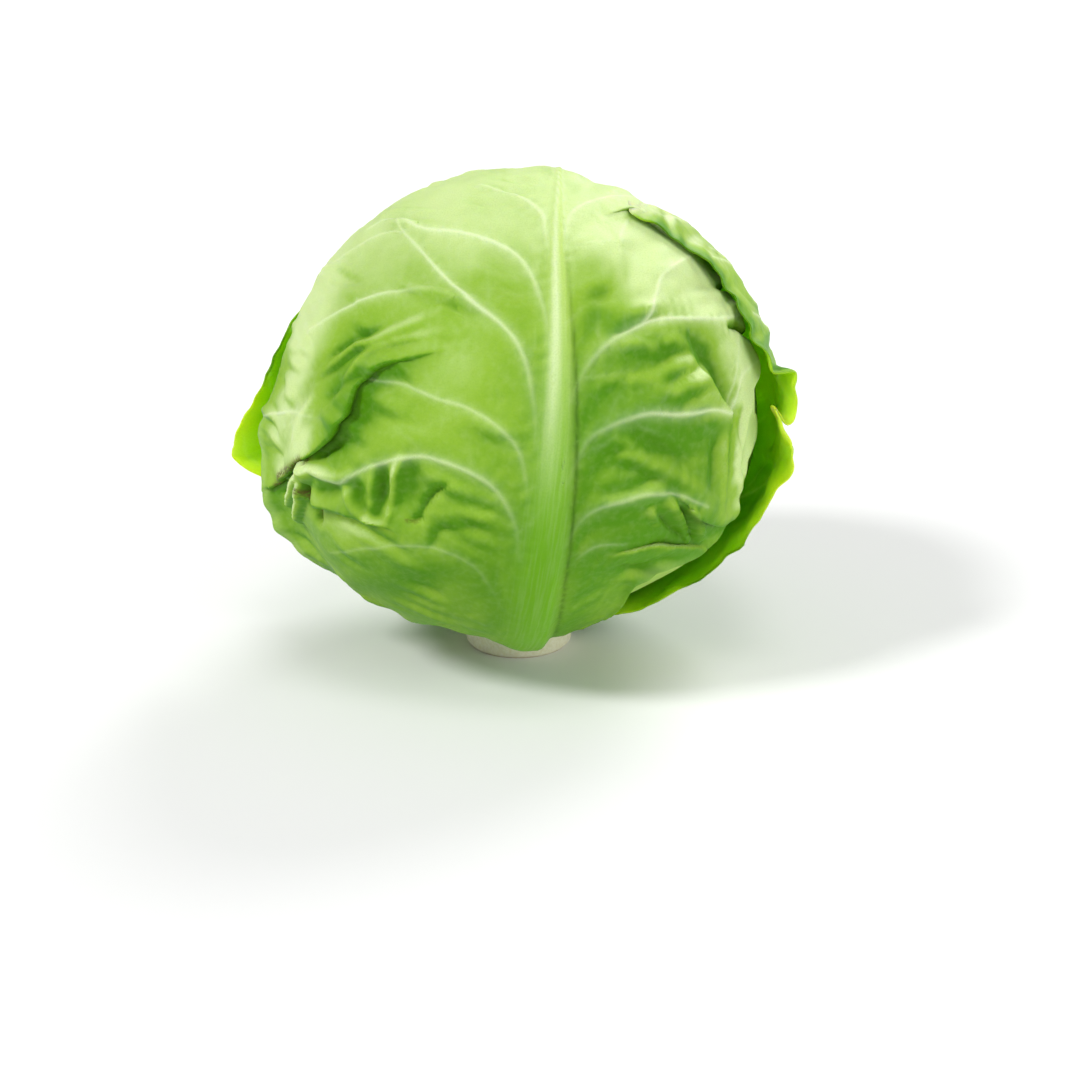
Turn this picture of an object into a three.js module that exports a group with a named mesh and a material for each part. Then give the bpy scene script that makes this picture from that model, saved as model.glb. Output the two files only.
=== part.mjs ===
// A whole green cabbage head, standing on the flat cut of its stump.
// Millimetres, +Z up. The origin is the middle of the cut, and the head's best side faces -Y.
//
// Pieces: the stem with its core, the solid heart, and seven leaves that wrap it in layers.
// Each leaf is one thin curved solid, laid out flat as polar coordinates about its own middle:
// a bearing, clockwise from the tip as seen from outside, and a reach, the angle from the middle.
import * as THREE from "three";

const { degToRad, radToDeg, smoothstep, lerp, clamp } = THREE.MathUtils;

// ---------------------------------------------------------------- driving dimensions
const HEAD_RADIUS = 87.5; // of the layer that shows in front, at its widest
const CENTRE_HEIGHT = 86; // of the ball's middle above the cut
const CROWN_DROP = 0.6; // how much flatter the head is on top
const BOTTOM_DROP = 16; // and round the stump
const LUMP = 1.1; // slow unevenness of the whole head

const STUMP_RADIUS = 19;
const STUMP_BEVEL = 1.5;
const STEM_TOP = 90;
const STEM_SIDES = 36;
const STEM_GAP = 0.45; // between the stem and each leaf's foot
const HOLE_GAP = 2; // between the core and the heart's hole
const HOLE_HEIGHTS = [38, 82, 89]; // of the hole's rings of vertices
const HEART_FOOT = -72; // elevation at which the heart's skin turns into its hole

const BLADE = 1.3; // leaf thickness
const RIM = 0.8; // leaf thickness at the margin
const RIM_ZONE = 14; // how far in from the margin the leaf starts to thin
const RIM_FLATTENING = 0.8; // how much of their height ribs and veins lose at the margin
const SAG = 1; // how far a blade sinks between its veins
const SAG_WIDTH = 11;
const VEIN_HEIGHT = 1.1;
const VEIN_WIDTH = 3;
const COVERED_FLATTENING = 0.8; // how much of its relief a leaf loses under other leaves
const SETTLE_FROM = 50; // a margin settles between these two distances from it
const SETTLE_TO = 10;

// Distance of each layer from the layer that shows in front, outermost first.
const LAYER_OFFSETS = [6.4, 2.8, 0, -4.1, -6.7, -9.3, -11.9];
const HEART_OFFSET = -15.3;

const SPACING = 6.2; // of a visible leaf's vertices
const HIDDEN_SPACING = 11;
const SNAP = 0.85; // how far a vertex near a vein moves onto it
const SNAP_REACH = 0.38; // how near that is, as a share of the spacing
const MARGIN_RINGS = [0, 3.2, 7, 11.5, 17]; // vertex rings by distance from the margin
const HIDDEN_MARGIN_RINGS = [0, 9];
const TYPICAL_MARGIN = 92; // distance from a leaf's middle that its vertices are counted for
const GIRTH_ANGLE = 1.25; // and the angle, in radians, that sets how many go round there
const FEWEST_AROUND = 6;
const FOOT_REACH = 70; // no leaf meets the stem nearer to its own middle than this, in degrees
const REACH_STEP = 0.25;

// Midrib, by y, the distance along the leaf from its middle towards the tip.
const RIB_END = 115;
const RIB_LENGTH = 245;
const RIB_STOPS = [-110, -75, -40, -5, 30, 65]; // where vertices are placed along its edges
const RIB_FOOT = -60; // below this it keeps its height right to the margin
const ribShare = (y) => clamp((RIB_END - y) / RIB_LENGTH, 0, 1);
const ribHalfWidth = (y) => 1.2 + 12.5 * ribShare(y) ** 1.25;
const ribHeight = (y) => 0.5 + 4.2 * ribShare(y) ** 1.3;

// Side veins of the wrapper leaves. A heading is the angle away from the tip, in degrees.
const SIDE_VEINS_FROM = -84; // where the lowest one leaves the midrib, by y
const SIDE_VEINS_TO = 70;
const SIDE_VEINS_APART = 26;
const SIDE_VEINS_STAGGER = 8; // how much higher the right ones start
const SIDE_VEIN_STEP = 7; // length of its straight parts
const SIDE_VEIN_PARTS = 30; // at most
const SIDE_VEIN_FORK = 7; // the part after which it forks
const HEADING_AT_RIB = 20;
const HEADING_LOWEST = 74; // of the lowest vein, once it has turned outwards
const HEADING_LESS = 5; // for each vein above it
const HEADING_BACK = 1.6; // what each part turns back towards the tip

const COLOURS = {
  pale: 0xd3e8a4,
  green: 0x86b146,
  bright: 0x9ac83f,
  inner: 0xcfe08f,
  heart: 0xe6ecb9,
  stem: 0xeeeacb,
};

// ---------------------------------------------------------------- the leaves
// outline is [bearing, reach], curl is [bearing, angle, width]: how steeply the margin lifts, in
// degrees, and over how many millimetres. settle is how far the margin sinks to the layer below.
// veins and folds are in millimetres, x to the right of the midrib and y towards the tip.
const LEAVES = [
  {
    name: "wrapper_leaf_right",
    colour: COLOURS.pale,
    azimuth: 142,
    elevation: 8,
    roll: 0,
    layer: 0,
    outline: [
      [0, 47], [20, 48], [45, 53], [60, 57], [90, 60], [120, 62], [145, 71], [162, 85],
      [180, 95], [198, 85], [214, 78], [232, 76], [251, 77], [262, 76], [276, 73.5], [288, 70.5],
      [300, 68.5], [311, 69.5], [319, 73], [325, 76], [330, 78.5], [334, 74], [340, 62], [350, 51],
    ],
    curl: [
      [0, 5, 8], [60, 12, 12], [90, 12, 12], [120, 20, 12], [150, 6, 8], [180, 0, 6],
      [210, 4, 8], [232, 14, 12], [245, 30, 14], [256, 42, 16], [264, 60, 17], [269, 88, 18],
      [275, 64, 17], [280, 72, 16], [284, 34, 14], [290, 24, 12], [300, 22, 12], [311, 20, 11],
      [319, 14, 10], [330, 6, 8], [343, 4, 8],
    ],
    settle: [
      [0, -2.6], [45, -1.5], [80, 0], [150, 0], [200, -1], [240, -1.9], [300, -2.6], [320, -3],
      [340, -2.8],
    ],
    sideVeins: true,
  },
  {
    name: "wrapper_leaf_left",
    colour: COLOURS.bright,
    azimuth: -138,
    elevation: 6,
    roll: 0,
    layer: 1,
    outline: [
      [0, 42], [16, 38], [33, 34], [50, 34], [62, 36], [70, 39.5], [82, 43], [97, 45.5], [108, 49.5],
      [114, 50], [122, 47.5], [130, 49.5], [138, 56], [149, 69], [164, 84], [180, 94], [196, 85],
      [215, 74], [240, 66], [270, 62], [300, 58], [330, 48],
    ],
    curl: [
      [0, 5, 8], [33, 8, 8], [60, 7, 10], [70, 9, 12], [78, 16, 15], [86, 27, 18], [94, 44, 21],
      [102, 66, 24], [108, 84, 26], [114.5, 98, 27], [118.5, 58, 20], [122, 38, 17], [130, 20, 13],
      [149, 8, 10], [180, 0, 6], [240, 6, 8], [300, 5, 8],
    ],
    settle: [[0, -0.6], [60, -1.4], [100, -1], [140, -0.6], [180, 0], [240, 0], [320, -0.4]],
    sideVeins: true,
  },
  {
    name: "front_leaf",
    colour: COLOURS.green,
    azimuth: 7.5,
    elevation: 12,
    roll: 5.5,
    layer: 2,
    outline: [
      [0, 119], [14, 114], [28, 98], [45, 82], [52, 74], [58, 70], [66, 67.5], [71, 68.5],
      [74, 66], [78, 58.5], [82, 57], [85, 60], [89, 61], [97, 57.5], [104, 56], [110, 58],
      [117, 59], [128, 52.5], [137, 47.5], [144, 47], [150, 55], [157, 72], [165, 86], [180, 97],
      [196, 86], [211, 85], [229, 91.5], [240, 94.5], [250, 95], [260, 94], [270, 91.5], [285, 89],
      [300, 94], [316, 106], [338, 117],
    ],
    curl: [
      [0, 6, 8], [45, 4, 8], [66, 12, 10], [77, 16, 10], [88, 14, 10], [103, 16, 10],
      [117, 20, 10], [128, 28, 12], [137, 34, 12], [144, 26, 12], [157, 6, 8], [180, 0, 6],
      [211, 6, 8], [222, 13, 12], [230, 28, 18], [236, 46, 20], [241, 57, 20], [247, 57, 20],
      [255, 46, 20], [262, 36, 20], [268, 25, 18], [275, 17, 13], [290, 8, 10], [316, 4, 8],
    ],
    settle: [[0, 0]],
    bend: (y) => 1 + 7 * Math.max(0, (y - 51) / 64) ** 2 + 8 * Math.max(0, (-39 - y) / 96) ** 2,
    veins: [
      [[-2, 70], [-4, 86], [-13, 95], [-29, 106]],
      [[-3, 35], [-6, 48], [-11, 60], [-19, 67], [-33, 72], [-52, 76], [-73, 86]],
      [[-7, 4], [-11, 26], [-18, 35], [-31, 44], [-43, 55], [-56, 72]],
      [[-37, 47], [-45, 50], [-67, 49], [-85, 43], [-105, 35]],
      [[-7, -18], [-13, -2], [-27, 7], [-39, 10], [-52, 14], [-66, 15]],
      [[-8, -42], [-17, -18], [-25, -13], [-35, -9], [-46, -9], [-60, -15], [-73, -24]],
      [[-73, -24], [-89, -22], [-99, -26]],
      [[-90, -2], [-109, -2], [-128, -6]],
      [[-10, -70], [-22, -50], [-40, -44], [-62, -50], [-84, -62]],
      [[4, 72], [8, 85], [16, 93], [32, 101], [50, 107]],
      [[6, 14], [9, 24], [17, 32], [24, 38], [31, 42], [40, 56], [44, 62], [63, 73]],
      [[31, 42], [46, 42], [67, 46], [84, 50]],
      [[8, -12], [10, -1], [16, 5], [27, 7], [41, 9], [65, 10], [72, 17], [82, 29]],
      [[8, -38], [10, -28], [19, -22], [27, -19], [40, -18], [55, -21], [74, -26]],
    ],
    folds: [
      {
        path: [[-36, 28], [-49, 25], [-57, 21], [-64, 17], [-70, 12], [-74, 1], [-79, -6],
          [-89, -17], [-105, -29], [-130, -47]],
        height: [0, 3.5, 3, 2.4],
        spread: 12,
        fall: 5,
      },
      { path: [[66, 10], [54, 23], [44, 36]], height: [1.6, 1, 0], spread: 7, fall: 7 },
      {
        path: [[92, -34], [78, -34], [69, -32], [57, -23], [48, -14]],
        height: [3, 3, 2, 0],
        spread: 12,
        fall: 5,
      },
    ],
  },
];

// The leaves below them show only in the gaps, so they all share one plain shape.
const INNER_LEAVES = [["right", 92], ["left", -62], ["back", 176], ["front", 34]];
INNER_LEAVES.forEach(([side, azimuth], i) => {
  LEAVES.push({
    name: `inner_leaf_${side}`,
    colour: COLOURS.inner,
    azimuth,
    elevation: 6,
    roll: 0,
    layer: 3 + i,
    outline: [
      [0, 80], [45, 72], [90, 64], [130, 66], [158, 80], [180, 94], [202, 80], [225, 68],
      [270, 64], [315, 72],
    ],
    curl: [[0, 6, 8], [180, 0, 6]],
    settle: [[0, 0]],
    hidden: true,
  });
});

// ---------------------------------------------------------------- small helpers
const CENTRE = new THREE.Vector3(0, 0, CENTRE_HEIGHT);

// A unit vector: azimuth 0 is the front, 90 the right.
function direction(azimuth, elevation) {
  const a = degToRad(azimuth);
  const e = degToRad(elevation);
  return new THREE.Vector3(Math.sin(a) * Math.cos(e), -Math.cos(a) * Math.cos(e), Math.sin(e));
}

// A smooth closed function of bearing through [bearing, value] points. It never overshoots them.
function aroundLeaf(points, column = 1) {
  const n = points.length;
  const at = (i) => points[(i + n) % n][0] + 360 * Math.floor(i / n);
  const value = (i) => points[(i + n) % n][column];
  const slope = (i) => (value(i + 1) - value(i)) / (at(i + 1) - at(i));
  const tangent = (i) => {
    const product = slope(i - 1) * slope(i);
    return product <= 0 ? 0 : (2 * product) / (slope(i - 1) + slope(i));
  };
  return (bearing) => {
    const b = ((bearing % 360) + 360) % 360;
    const i = points.findLastIndex((point) => point[0] <= b);
    const width = at(i + 1) - at(i);
    const t = (b - at(i)) / width;
    const u = 1 - t;
    return (
      value(i) * u * u * (1 + 2 * t) +
      value(i + 1) * t * t * (1 + 2 * u) +
      tangent(i) * width * t * u * u -
      tangent(i + 1) * width * t * t * u
    );
  };
}

// The nearest place on a path: how far, how far along it from 0 to 1, and on which side.
function nearest(path, x, y) {
  let best = { distance: Infinity };
  path.slice(1).forEach(([bx, by], i) => {
    const [ax, ay] = path[i];
    const length2 = (bx - ax) ** 2 + (by - ay) ** 2;
    const t = clamp(((x - ax) * (bx - ax) + (y - ay) * (by - ay)) / length2, 0, 1);
    const px = lerp(ax, bx, t);
    const py = lerp(ay, by, t);
    const distance = Math.hypot(x - px, y - py);
    if (distance >= best.distance) return;
    const side = Math.sign((bx - ax) * (y - ay) - (by - ay) * (x - ax)) || 1;
    best = { distance, along: (i + t) / (path.length - 1), side, px, py };
  });
  return best;
}

// A path moved sideways, to the left of the way that it runs.
function beside(path, distance) {
  return path.map(([x, y], i) => {
    const [ax, ay] = path[Math.max(0, i - 1)];
    const [bx, by] = path[Math.min(path.length - 1, i + 1)];
    const length = Math.hypot(bx - ax, by - ay);
    return [x - (distance * (by - ay)) / length, y + (distance * (bx - ax)) / length];
  });
}

// The value of evenly spaced stops at a share from 0 to 1.
function alongStops(stops, share) {
  const i = Math.min(Math.floor(share * (stops.length - 1)), stops.length - 2);
  return lerp(stops[i], stops[i + 1], share * (stops.length - 1) - i);
}

// ---------------------------------------------------------------- the head's own form
// Flat places of the head: which way, how deep, and their spread in radians.
const FLAT_PLACES = [[direction(-45, 45), 4.5, 0.59], [direction(113, 54), 4.2, 0.235]];

function headRadius(d) {
  const up = Math.max(0, d.z);
  const down = Math.max(0, -d.z);
  const dents = FLAT_PLACES.reduce(
    (sum, [towards, depth, spread]) => sum + depth * Math.exp(-((d.angleTo(towards) / spread) ** 2)),
    0,
  );
  const lumps = Math.sin(3.1 * d.x + 1.2) * Math.cos(2.6 * d.y - 0.5) + Math.sin(4 * d.z + 2.2 * d.x);
  return (
    HEAD_RADIUS -
    CROWN_DROP * up ** 2 -
    BOTTOM_DROP * (0.4 * down ** 2 + 0.6 * down ** 8) -
    dents +
    LUMP * lumps * (1 - down ** 4)
  );
}

// Layers lie closer over the crown and further apart round the stump.
const layerScale = (d) => 1 - 0.1 * Math.max(0, d.z) ** 2 + 0.4 * Math.max(0, -d.z) ** 4;

const STEM_PROFILE = [
  [STUMP_RADIUS - STUMP_BEVEL, 0], [STUMP_RADIUS, STUMP_BEVEL], [STUMP_RADIUS, 13],
  [17.2, 27], [14.5, 38], [9, 82], [5.5, 88],
];

function stemRadius(z) {
  const i = STEM_PROFILE.findLastIndex((point) => point[1] <= z);
  if (i < 0) return STUMP_RADIUS;
  if (i === STEM_PROFILE.length - 1) return STEM_PROFILE[i][0];
  const [[r0, z0], [r1, z1]] = STEM_PROFILE.slice(i, i + 2);
  return lerp(r0, r1, (z - z0) / (z1 - z0));
}

// ---------------------------------------------------------------- a leaf
// Side veins leave the midrib at a narrow angle, turn outwards and fork once.
function regularVeins(reach) {
  const veins = [];
  for (const side of [-1, 1]) {
    let outwards = HEADING_LOWEST;
    for (let start = SIDE_VEINS_FROM; start < SIDE_VEINS_TO; start += SIDE_VEINS_APART) {
      const path = [[side * 0.7 * ribHalfWidth(start), start + (side > 0 ? SIDE_VEINS_STAGGER : 0)]];
      let fork = null;
      for (let part = 0; part < SIDE_VEIN_PARTS; part += 1) {
        const [x, y] = path.at(-1);
        const turned = lerp(HEADING_AT_RIB, outwards, smoothstep(part, 0, 3));
        const heading = degToRad(turned - HEADING_BACK * part);
        const next = [
          x + SIDE_VEIN_STEP * side * Math.sin(heading),
          y + SIDE_VEIN_STEP * Math.cos(heading),
        ];
        const limit = 0.9 * HEAD_RADIUS * degToRad(reach(radToDeg(Math.atan2(next[0], next[1]))));
        if (Math.hypot(...next) > limit) break;
        path.push(next);
        if (part === SIDE_VEIN_FORK) fork = next;
      }
      if (path.length > 3) veins.push(path);
      if (fork) {
        const [x, y] = fork;
        veins.push([fork, [x + side * 11, y + 13], [x + side * 19, y + 29]]);
      }
      outwards -= HEADING_LESS;
    }
  }
  return veins;
}

// A leaf's own frame on the head, and its outline.
function frameOf({ azimuth, elevation, roll, layer, outline }) {
  const middle = direction(azimuth, elevation);
  const level = direction(azimuth + 90, 0);
  const rise = new THREE.Vector3().crossVectors(middle, level);
  const right = level.applyAxisAngle(middle, -degToRad(roll));
  const tipward = rise.applyAxisAngle(middle, -degToRad(roll));
  return { middle, right, tipward, layer, outline: aroundLeaf(outline) };
}
const FRAMES = LEAVES.map(frameOf);

// How far a direction lies under the leaves outside a layer, from 0 in the open to 1.
function covered(layer, d) {
  return FRAMES.reduce((most, frame) => {
    if (frame.layer >= layer) return most;
    const reach = radToDeg(frame.middle.angleTo(d));
    const bearing = radToDeg(Math.atan2(frame.right.dot(d), frame.tipward.dot(d)));
    return Math.max(most, 1 - smoothstep(reach - frame.outline(bearing), -4, 1));
  }, 0);
}

function makeLeaf(leaf, place) {
  const { middle, right, tipward, outline } = FRAMES[place];
  const curlAngle = aroundLeaf(leaf.curl, 1);
  const curlWidth = aroundLeaf(leaf.curl, 2);
  const settle = aroundLeaf(leaf.settle);
  const bend = leaf.bend ?? (() => 0);
  const veins = leaf.sideVeins ? regularVeins(outline) : (leaf.veins ?? []);
  const folds = leaf.folds ?? [];
  const offset = LAYER_OFFSETS[leaf.layer];

  const along = (bearing, reach) => {
    const b = degToRad(bearing);
    const r = degToRad(reach);
    return middle
      .clone()
      .multiplyScalar(Math.cos(r))
      .addScaledVector(right, Math.sin(r) * Math.sin(b))
      .addScaledVector(tipward, Math.sin(r) * Math.cos(b));
  };
  const bodyRadius = (d) => headRadius(d) + offset * layerScale(d);

  const spacing = leaf.hidden ? HIDDEN_SPACING : SPACING;
  // A straight edge between two vertices on a round foot comes this much closer to the stem.
  const footGap = STEM_GAP + spacing ** 2 / (8 * STUMP_RADIUS);

  // The margin's reach, which ends at the stem where the stem is in the way.
  function marginReach(bearing) {
    const limit = outline(bearing);
    for (let reach = FOOT_REACH; reach < limit; reach += REACH_STEP) {
      const d = along(bearing, reach);
      const radius = bodyRadius(d);
      const z = CENTRE_HEIGHT + radius * d.z;
      if (radius * Math.hypot(d.x, d.y) < stemRadius(z) + footGap && d.z < 0) return reach;
    }
    return limit;
  }

  // How far the sheet stands off its layer: it sinks between veins and rises in its folds.
  function sheetHeight(x, y, d) {
    const toRib = Math.max(0, Math.abs(x - bend(y)) - ribHalfWidth(y));
    const toVein = veins.reduce((least, vein) => Math.min(least, nearest(vein, x, y).distance), toRib);
    const open = leaf.hidden ? 0 : 1 - COVERED_FLATTENING * covered(leaf.layer, d);
    let height = -SAG * open * (1 - Math.exp(-((toVein / SAG_WIDTH) ** 2)));
    for (const fold of folds) {
      const { distance, along: share, side } = nearest(fold.path, x, y);
      const form =
        side < 0 ? Math.exp(-((distance / fold.spread) ** 2)) : 1 - smoothstep(distance, 0, fold.fall);
      height += open * alongStops(fold.height, share) * form;
    }
    return height;
  }

  // How much thicker the leaf is over its midrib and veins.
  function ribs(x, y, d) {
    const rib = ribHeight(y) * (1 - smoothstep(Math.abs(x - bend(y)) / ribHalfWidth(y), 0.5, 1.5));
    const vein = veins.reduce((most, path) => {
      const { distance, along: share } = nearest(path, x, y);
      return Math.max(most, VEIN_HEIGHT * (1 - 0.6 * share) * Math.exp(-((distance / VEIN_WIDTH) ** 2)));
    }, 0);
    return Math.max(rib, vein * (1 - COVERED_FLATTENING * covered(leaf.layer, d)));
  }

  // A point of the sheet, from its bearing and its distance in millimetres from the leaf's middle.
  function sheetPoint(bearing, distance, x, y) {
    const margin = HEAD_RADIUS * degToRad(marginReach(bearing));
    const width = curlWidth(bearing);
    const angle = Math.max(1e-3, degToRad(curlAngle(bearing)));
    const into = Math.max(0, distance - (margin - width));
    const flat = distance - into + (width / angle) * Math.sin((angle * into) / width);
    const lift = (width / angle) * (1 - Math.cos((angle * into) / width));
    const d = along(bearing, radToDeg(flat / HEAD_RADIUS));
    const sink = settle(bearing) * smoothstep(distance, margin - SETTLE_FROM, margin - SETTLE_TO);
    const radius = bodyRadius(d) + sheetHeight(x, y, d) + sink + lift;
    return CENTRE.clone().addScaledVector(d, radius);
  }

  // Rings of vertices from the middle to the margin, closer together where the margin curls.
  const marginRings = leaf.hidden ? HIDDEN_MARGIN_RINGS : MARGIN_RINGS;
  const band = marginRings.at(-1);
  const count = Math.round((TYPICAL_MARGIN - band) / spacing);
  const rings = [[0, () => 0]];
  const sizes = [{ start: 0, size: 1 }];
  const addRing = (place) => {
    const angle = (GIRTH_ANGLE * place(TYPICAL_MARGIN)) / TYPICAL_MARGIN;
    const girth = 2 * Math.PI * HEAD_RADIUS * Math.sin(angle);
    const size = Math.max(FEWEST_AROUND, Math.round(girth / spacing));
    sizes.push({ start: rings.length, size });
    for (let i = 0; i < size; i += 1) rings.push([(360 * i) / size, place]);
  };
  for (let k = 1; k <= count; k += 1) addRing((margin) => (k / count) * (margin - band));
  for (const back of marginRings.slice(0, -1).reverse()) addRing((margin) => margin - back);

  // Vertices near a vein, a fold or an edge of the midrib move onto it.
  const snap = SNAP_REACH * spacing;
  const ribEdge = (side) => RIB_STOPS.map((y) => [bend(y) + side * ribHalfWidth(y), y]);
  const steps = folds.flatMap((fold) => [fold.path, beside(fold.path, fold.fall)]);
  const lines = [...veins, ...steps, ribEdge(-1), ribEdge(1)];
  const sheet = [];
  const extra = [];
  rings.forEach(([bearing, place]) => {
    const margin = HEAD_RADIUS * degToRad(marginReach(bearing));
    let distance = place(margin);
    let x = distance * Math.sin(degToRad(bearing));
    let y = distance * Math.cos(degToRad(bearing));
    let turned = bearing;
    if (distance < margin - band - 1) {
      const near = lines.map((line) => nearest(line, x, y));
      const close = near.reduce((a, b) => (b.distance < a.distance ? b : a));
      if (close.distance < snap) [x, y] = [lerp(x, close.px, SNAP), lerp(y, close.py, SNAP)];
      distance = Math.hypot(x, y);
      turned = radToDeg(Math.atan2(x, y));
    }
    const rimShare = smoothstep(distance, margin - RIM_ZONE, margin);
    const flattening = y > RIB_FOOT ? RIM_FLATTENING * rimShare : 0;
    const rise = ribs(x, y, along(turned, radToDeg(distance / HEAD_RADIUS)));
    sheet.push(sheetPoint(turned, distance, x, y));
    extra.push(lerp(BLADE, RIM, rimShare) / 2 + rise * (1 - flattening));
  });

  const faces = [];
  for (let k = 1; k < sizes.length; k += 1) joinRings(faces, sizes[k - 1], sizes[k]);
  const normals = vertexNormals(sheet, faces);
  const outer = sheet.map((p, i) => p.clone().addScaledVector(normals[i], extra[i]));
  const inner = sheet.map((p, i) => p.clone().addScaledVector(normals[i], -BLADE / 2));
  const points = [...outer, ...inner];
  points.forEach((p) => {
    const wanted = stemRadius(p.z) + footGap;
    const distance = Math.hypot(p.x, p.y);
    if (p.z < CENTRE_HEIGHT && distance < wanted) {
      p.x *= wanted / distance;
      p.y *= wanted / distance;
    }
  });

  const n = sheet.length;
  const index = [];
  faces.forEach(([a, b, c]) => index.push(a, b, c, a + n, c + n, b + n));
  const { start, size } = sizes.at(-1);
  for (let i = 0; i < size; i += 1) {
    const a = start + i;
    const b = start + ((i + 1) % size);
    index.push(a, b, a + n, b, b + n, a + n);
  }
  return solid(leaf.name, points, index, leaf.colour);
}

// Triangles between two closed rings of evenly spaced vertices, facing out.
function joinRings(faces, inner, outer) {
  const at = (ring, i) => ring.start + (i % ring.size);
  let i = 0;
  let j = 0;
  while (i < inner.size || j < outer.size) {
    const outerNext = (j + 1) / outer.size;
    const innerNext = (i + 1) / inner.size;
    const stepOuter = inner.size === 1 || i >= inner.size || (j < outer.size && outerNext <= innerNext);
    if (stepOuter) {
      if (j >= outer.size) break;
      faces.push([at(inner, i), at(outer, j + 1), at(outer, j)]);
      j += 1;
    } else {
      faces.push([at(inner, i), at(inner, i + 1), at(outer, j)]);
      i += 1;
    }
  }
}

function vertexNormals(points, faces) {
  const normals = points.map(() => new THREE.Vector3());
  for (const [a, b, c] of faces) {
    const side = points[b].clone().sub(points[a]);
    const normal = side.cross(points[c].clone().sub(points[a]));
    for (const i of [a, b, c]) normals[i].add(normal);
  }
  return normals.map((normal) => normal.normalize());
}

function solid(name, points, index, colour) {
  const geometry = new THREE.BufferGeometry().setFromPoints(points);
  geometry.setIndex(index);
  geometry.computeVertexNormals();
  const material = new THREE.MeshStandardMaterial({ color: colour, roughness: 0.5, metalness: 0 });
  const mesh = new THREE.Mesh(geometry, material);
  mesh.name = name;
  return mesh;
}

// ---------------------------------------------------------------- heart and stem
// The tight heart: a ball with a blind hole for the core, and the raised margins of its own leaves.
function makeHeart() {
  const AROUND = 32;
  const DOWN = 15;
  const MARGIN_STEP = 1.6; // height of the raised margins
  const MARGIN_FROM = 0.15; // each spreads round its middle out to these cosines
  const MARGIN_TO = 0.3;
  const margins = [direction(60, 55), direction(200, 50), direction(-60, 40)];
  const points = [CENTRE.clone().setZ(CENTRE_HEIGHT + headRadius(direction(0, 90)) + HEART_OFFSET)];
  const ringStarts = [];
  const addRing = (place) => {
    ringStarts.push(points.length);
    for (let i = 0; i < AROUND; i += 1) points.push(place((360 * i) / AROUND));
  };
  for (let k = 1; k <= DOWN; k += 1) {
    const elevation = lerp(90, HEART_FOOT, k / DOWN);
    addRing((azimuth) => {
      const d = direction(azimuth, elevation);
      const raised = margins.reduce((sum, m) => sum + smoothstep(d.dot(m), MARGIN_FROM, MARGIN_TO), 0);
      const step = MARGIN_STEP * (raised + 1 - margins.length);
      const radius = headRadius(d) + HEART_OFFSET * layerScale(d) + step;
      return CENTRE.clone().addScaledVector(d, radius);
    });
  }
  for (const z of HOLE_HEIGHTS) {
    addRing((azimuth) => direction(azimuth, 0).multiplyScalar(stemRadius(z) + HOLE_GAP).setZ(z));
  }
  const bottom = points.length;
  points.push(new THREE.Vector3(0, 0, STEM_TOP + HOLE_GAP));
  const index = [];
  for (let i = 0; i < AROUND; i += 1) {
    const next = (i + 1) % AROUND;
    index.push(0, ringStarts[0] + i, ringStarts[0] + next);
    for (let k = 1; k < ringStarts.length; k += 1) {
      const [a, b] = [ringStarts[k - 1], ringStarts[k]];
      index.push(a + i, b + i, a + next, a + next, b + i, b + next);
    }
    index.push(bottom, ringStarts.at(-1) + next, ringStarts.at(-1) + i);
  }
  return solid("heart", points, index, COLOURS.heart);
}

// The stem: the cut stump that the head stands on, and the core that runs up into the heart.
function makeStem() {
  const profile = [[0, 0], ...STEM_PROFILE, [0, STEM_TOP]].map(([r, z]) => new THREE.Vector2(r, z));
  const geometry = new THREE.LatheGeometry(profile, STEM_SIDES).rotateX(Math.PI / 2);
  const material = new THREE.MeshStandardMaterial({ color: COLOURS.stem, roughness: 0.6, metalness: 0 });
  const mesh = new THREE.Mesh(geometry, material);
  mesh.name = "stem";
  return mesh;
}

const cabbage = new THREE.Group();
cabbage.name = "cabbage_head";
cabbage.add(makeStem(), makeHeart(), ...LEAVES.map(makeLeaf));

export default cabbage;
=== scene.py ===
"""A whole green cabbage head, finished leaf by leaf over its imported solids.

A leaf is drawn flat, in millimetres about its own middle: x to the right of its midrib as seen from
outside, y towards its tip. Its outline, veins and folds are drawn there, the drawing is cut into fine
triangles, and these are wrapped round the head as a thin closed sheet.
"""

import math

import bpy
import numpy as np
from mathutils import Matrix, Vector


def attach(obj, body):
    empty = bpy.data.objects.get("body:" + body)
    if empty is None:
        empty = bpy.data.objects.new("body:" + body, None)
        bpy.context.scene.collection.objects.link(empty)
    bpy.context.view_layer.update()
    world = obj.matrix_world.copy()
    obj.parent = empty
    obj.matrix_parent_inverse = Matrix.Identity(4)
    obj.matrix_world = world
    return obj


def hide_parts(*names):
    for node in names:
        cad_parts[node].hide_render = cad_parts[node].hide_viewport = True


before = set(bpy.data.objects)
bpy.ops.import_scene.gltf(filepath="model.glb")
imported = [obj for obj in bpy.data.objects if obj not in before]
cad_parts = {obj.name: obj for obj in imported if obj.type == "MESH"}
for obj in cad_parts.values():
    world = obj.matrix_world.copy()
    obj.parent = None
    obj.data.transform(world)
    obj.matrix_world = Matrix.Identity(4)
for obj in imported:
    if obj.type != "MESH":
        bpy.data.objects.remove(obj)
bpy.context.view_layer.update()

MM = 0.001
FLOOR_HALF = 8.0  # metres
WORLD_STRENGTH = 0.34
CAMERA_DISTANCE = 0.9  # metres from the head's middle
CAMERA_ELEVATION = 17  # degrees above it
CAMERA_LENS = 85.9
SENSOR_WIDTH = 36
CAMERA_AIM = (5.22, -12.31, 45.74)  # millimetres

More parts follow.
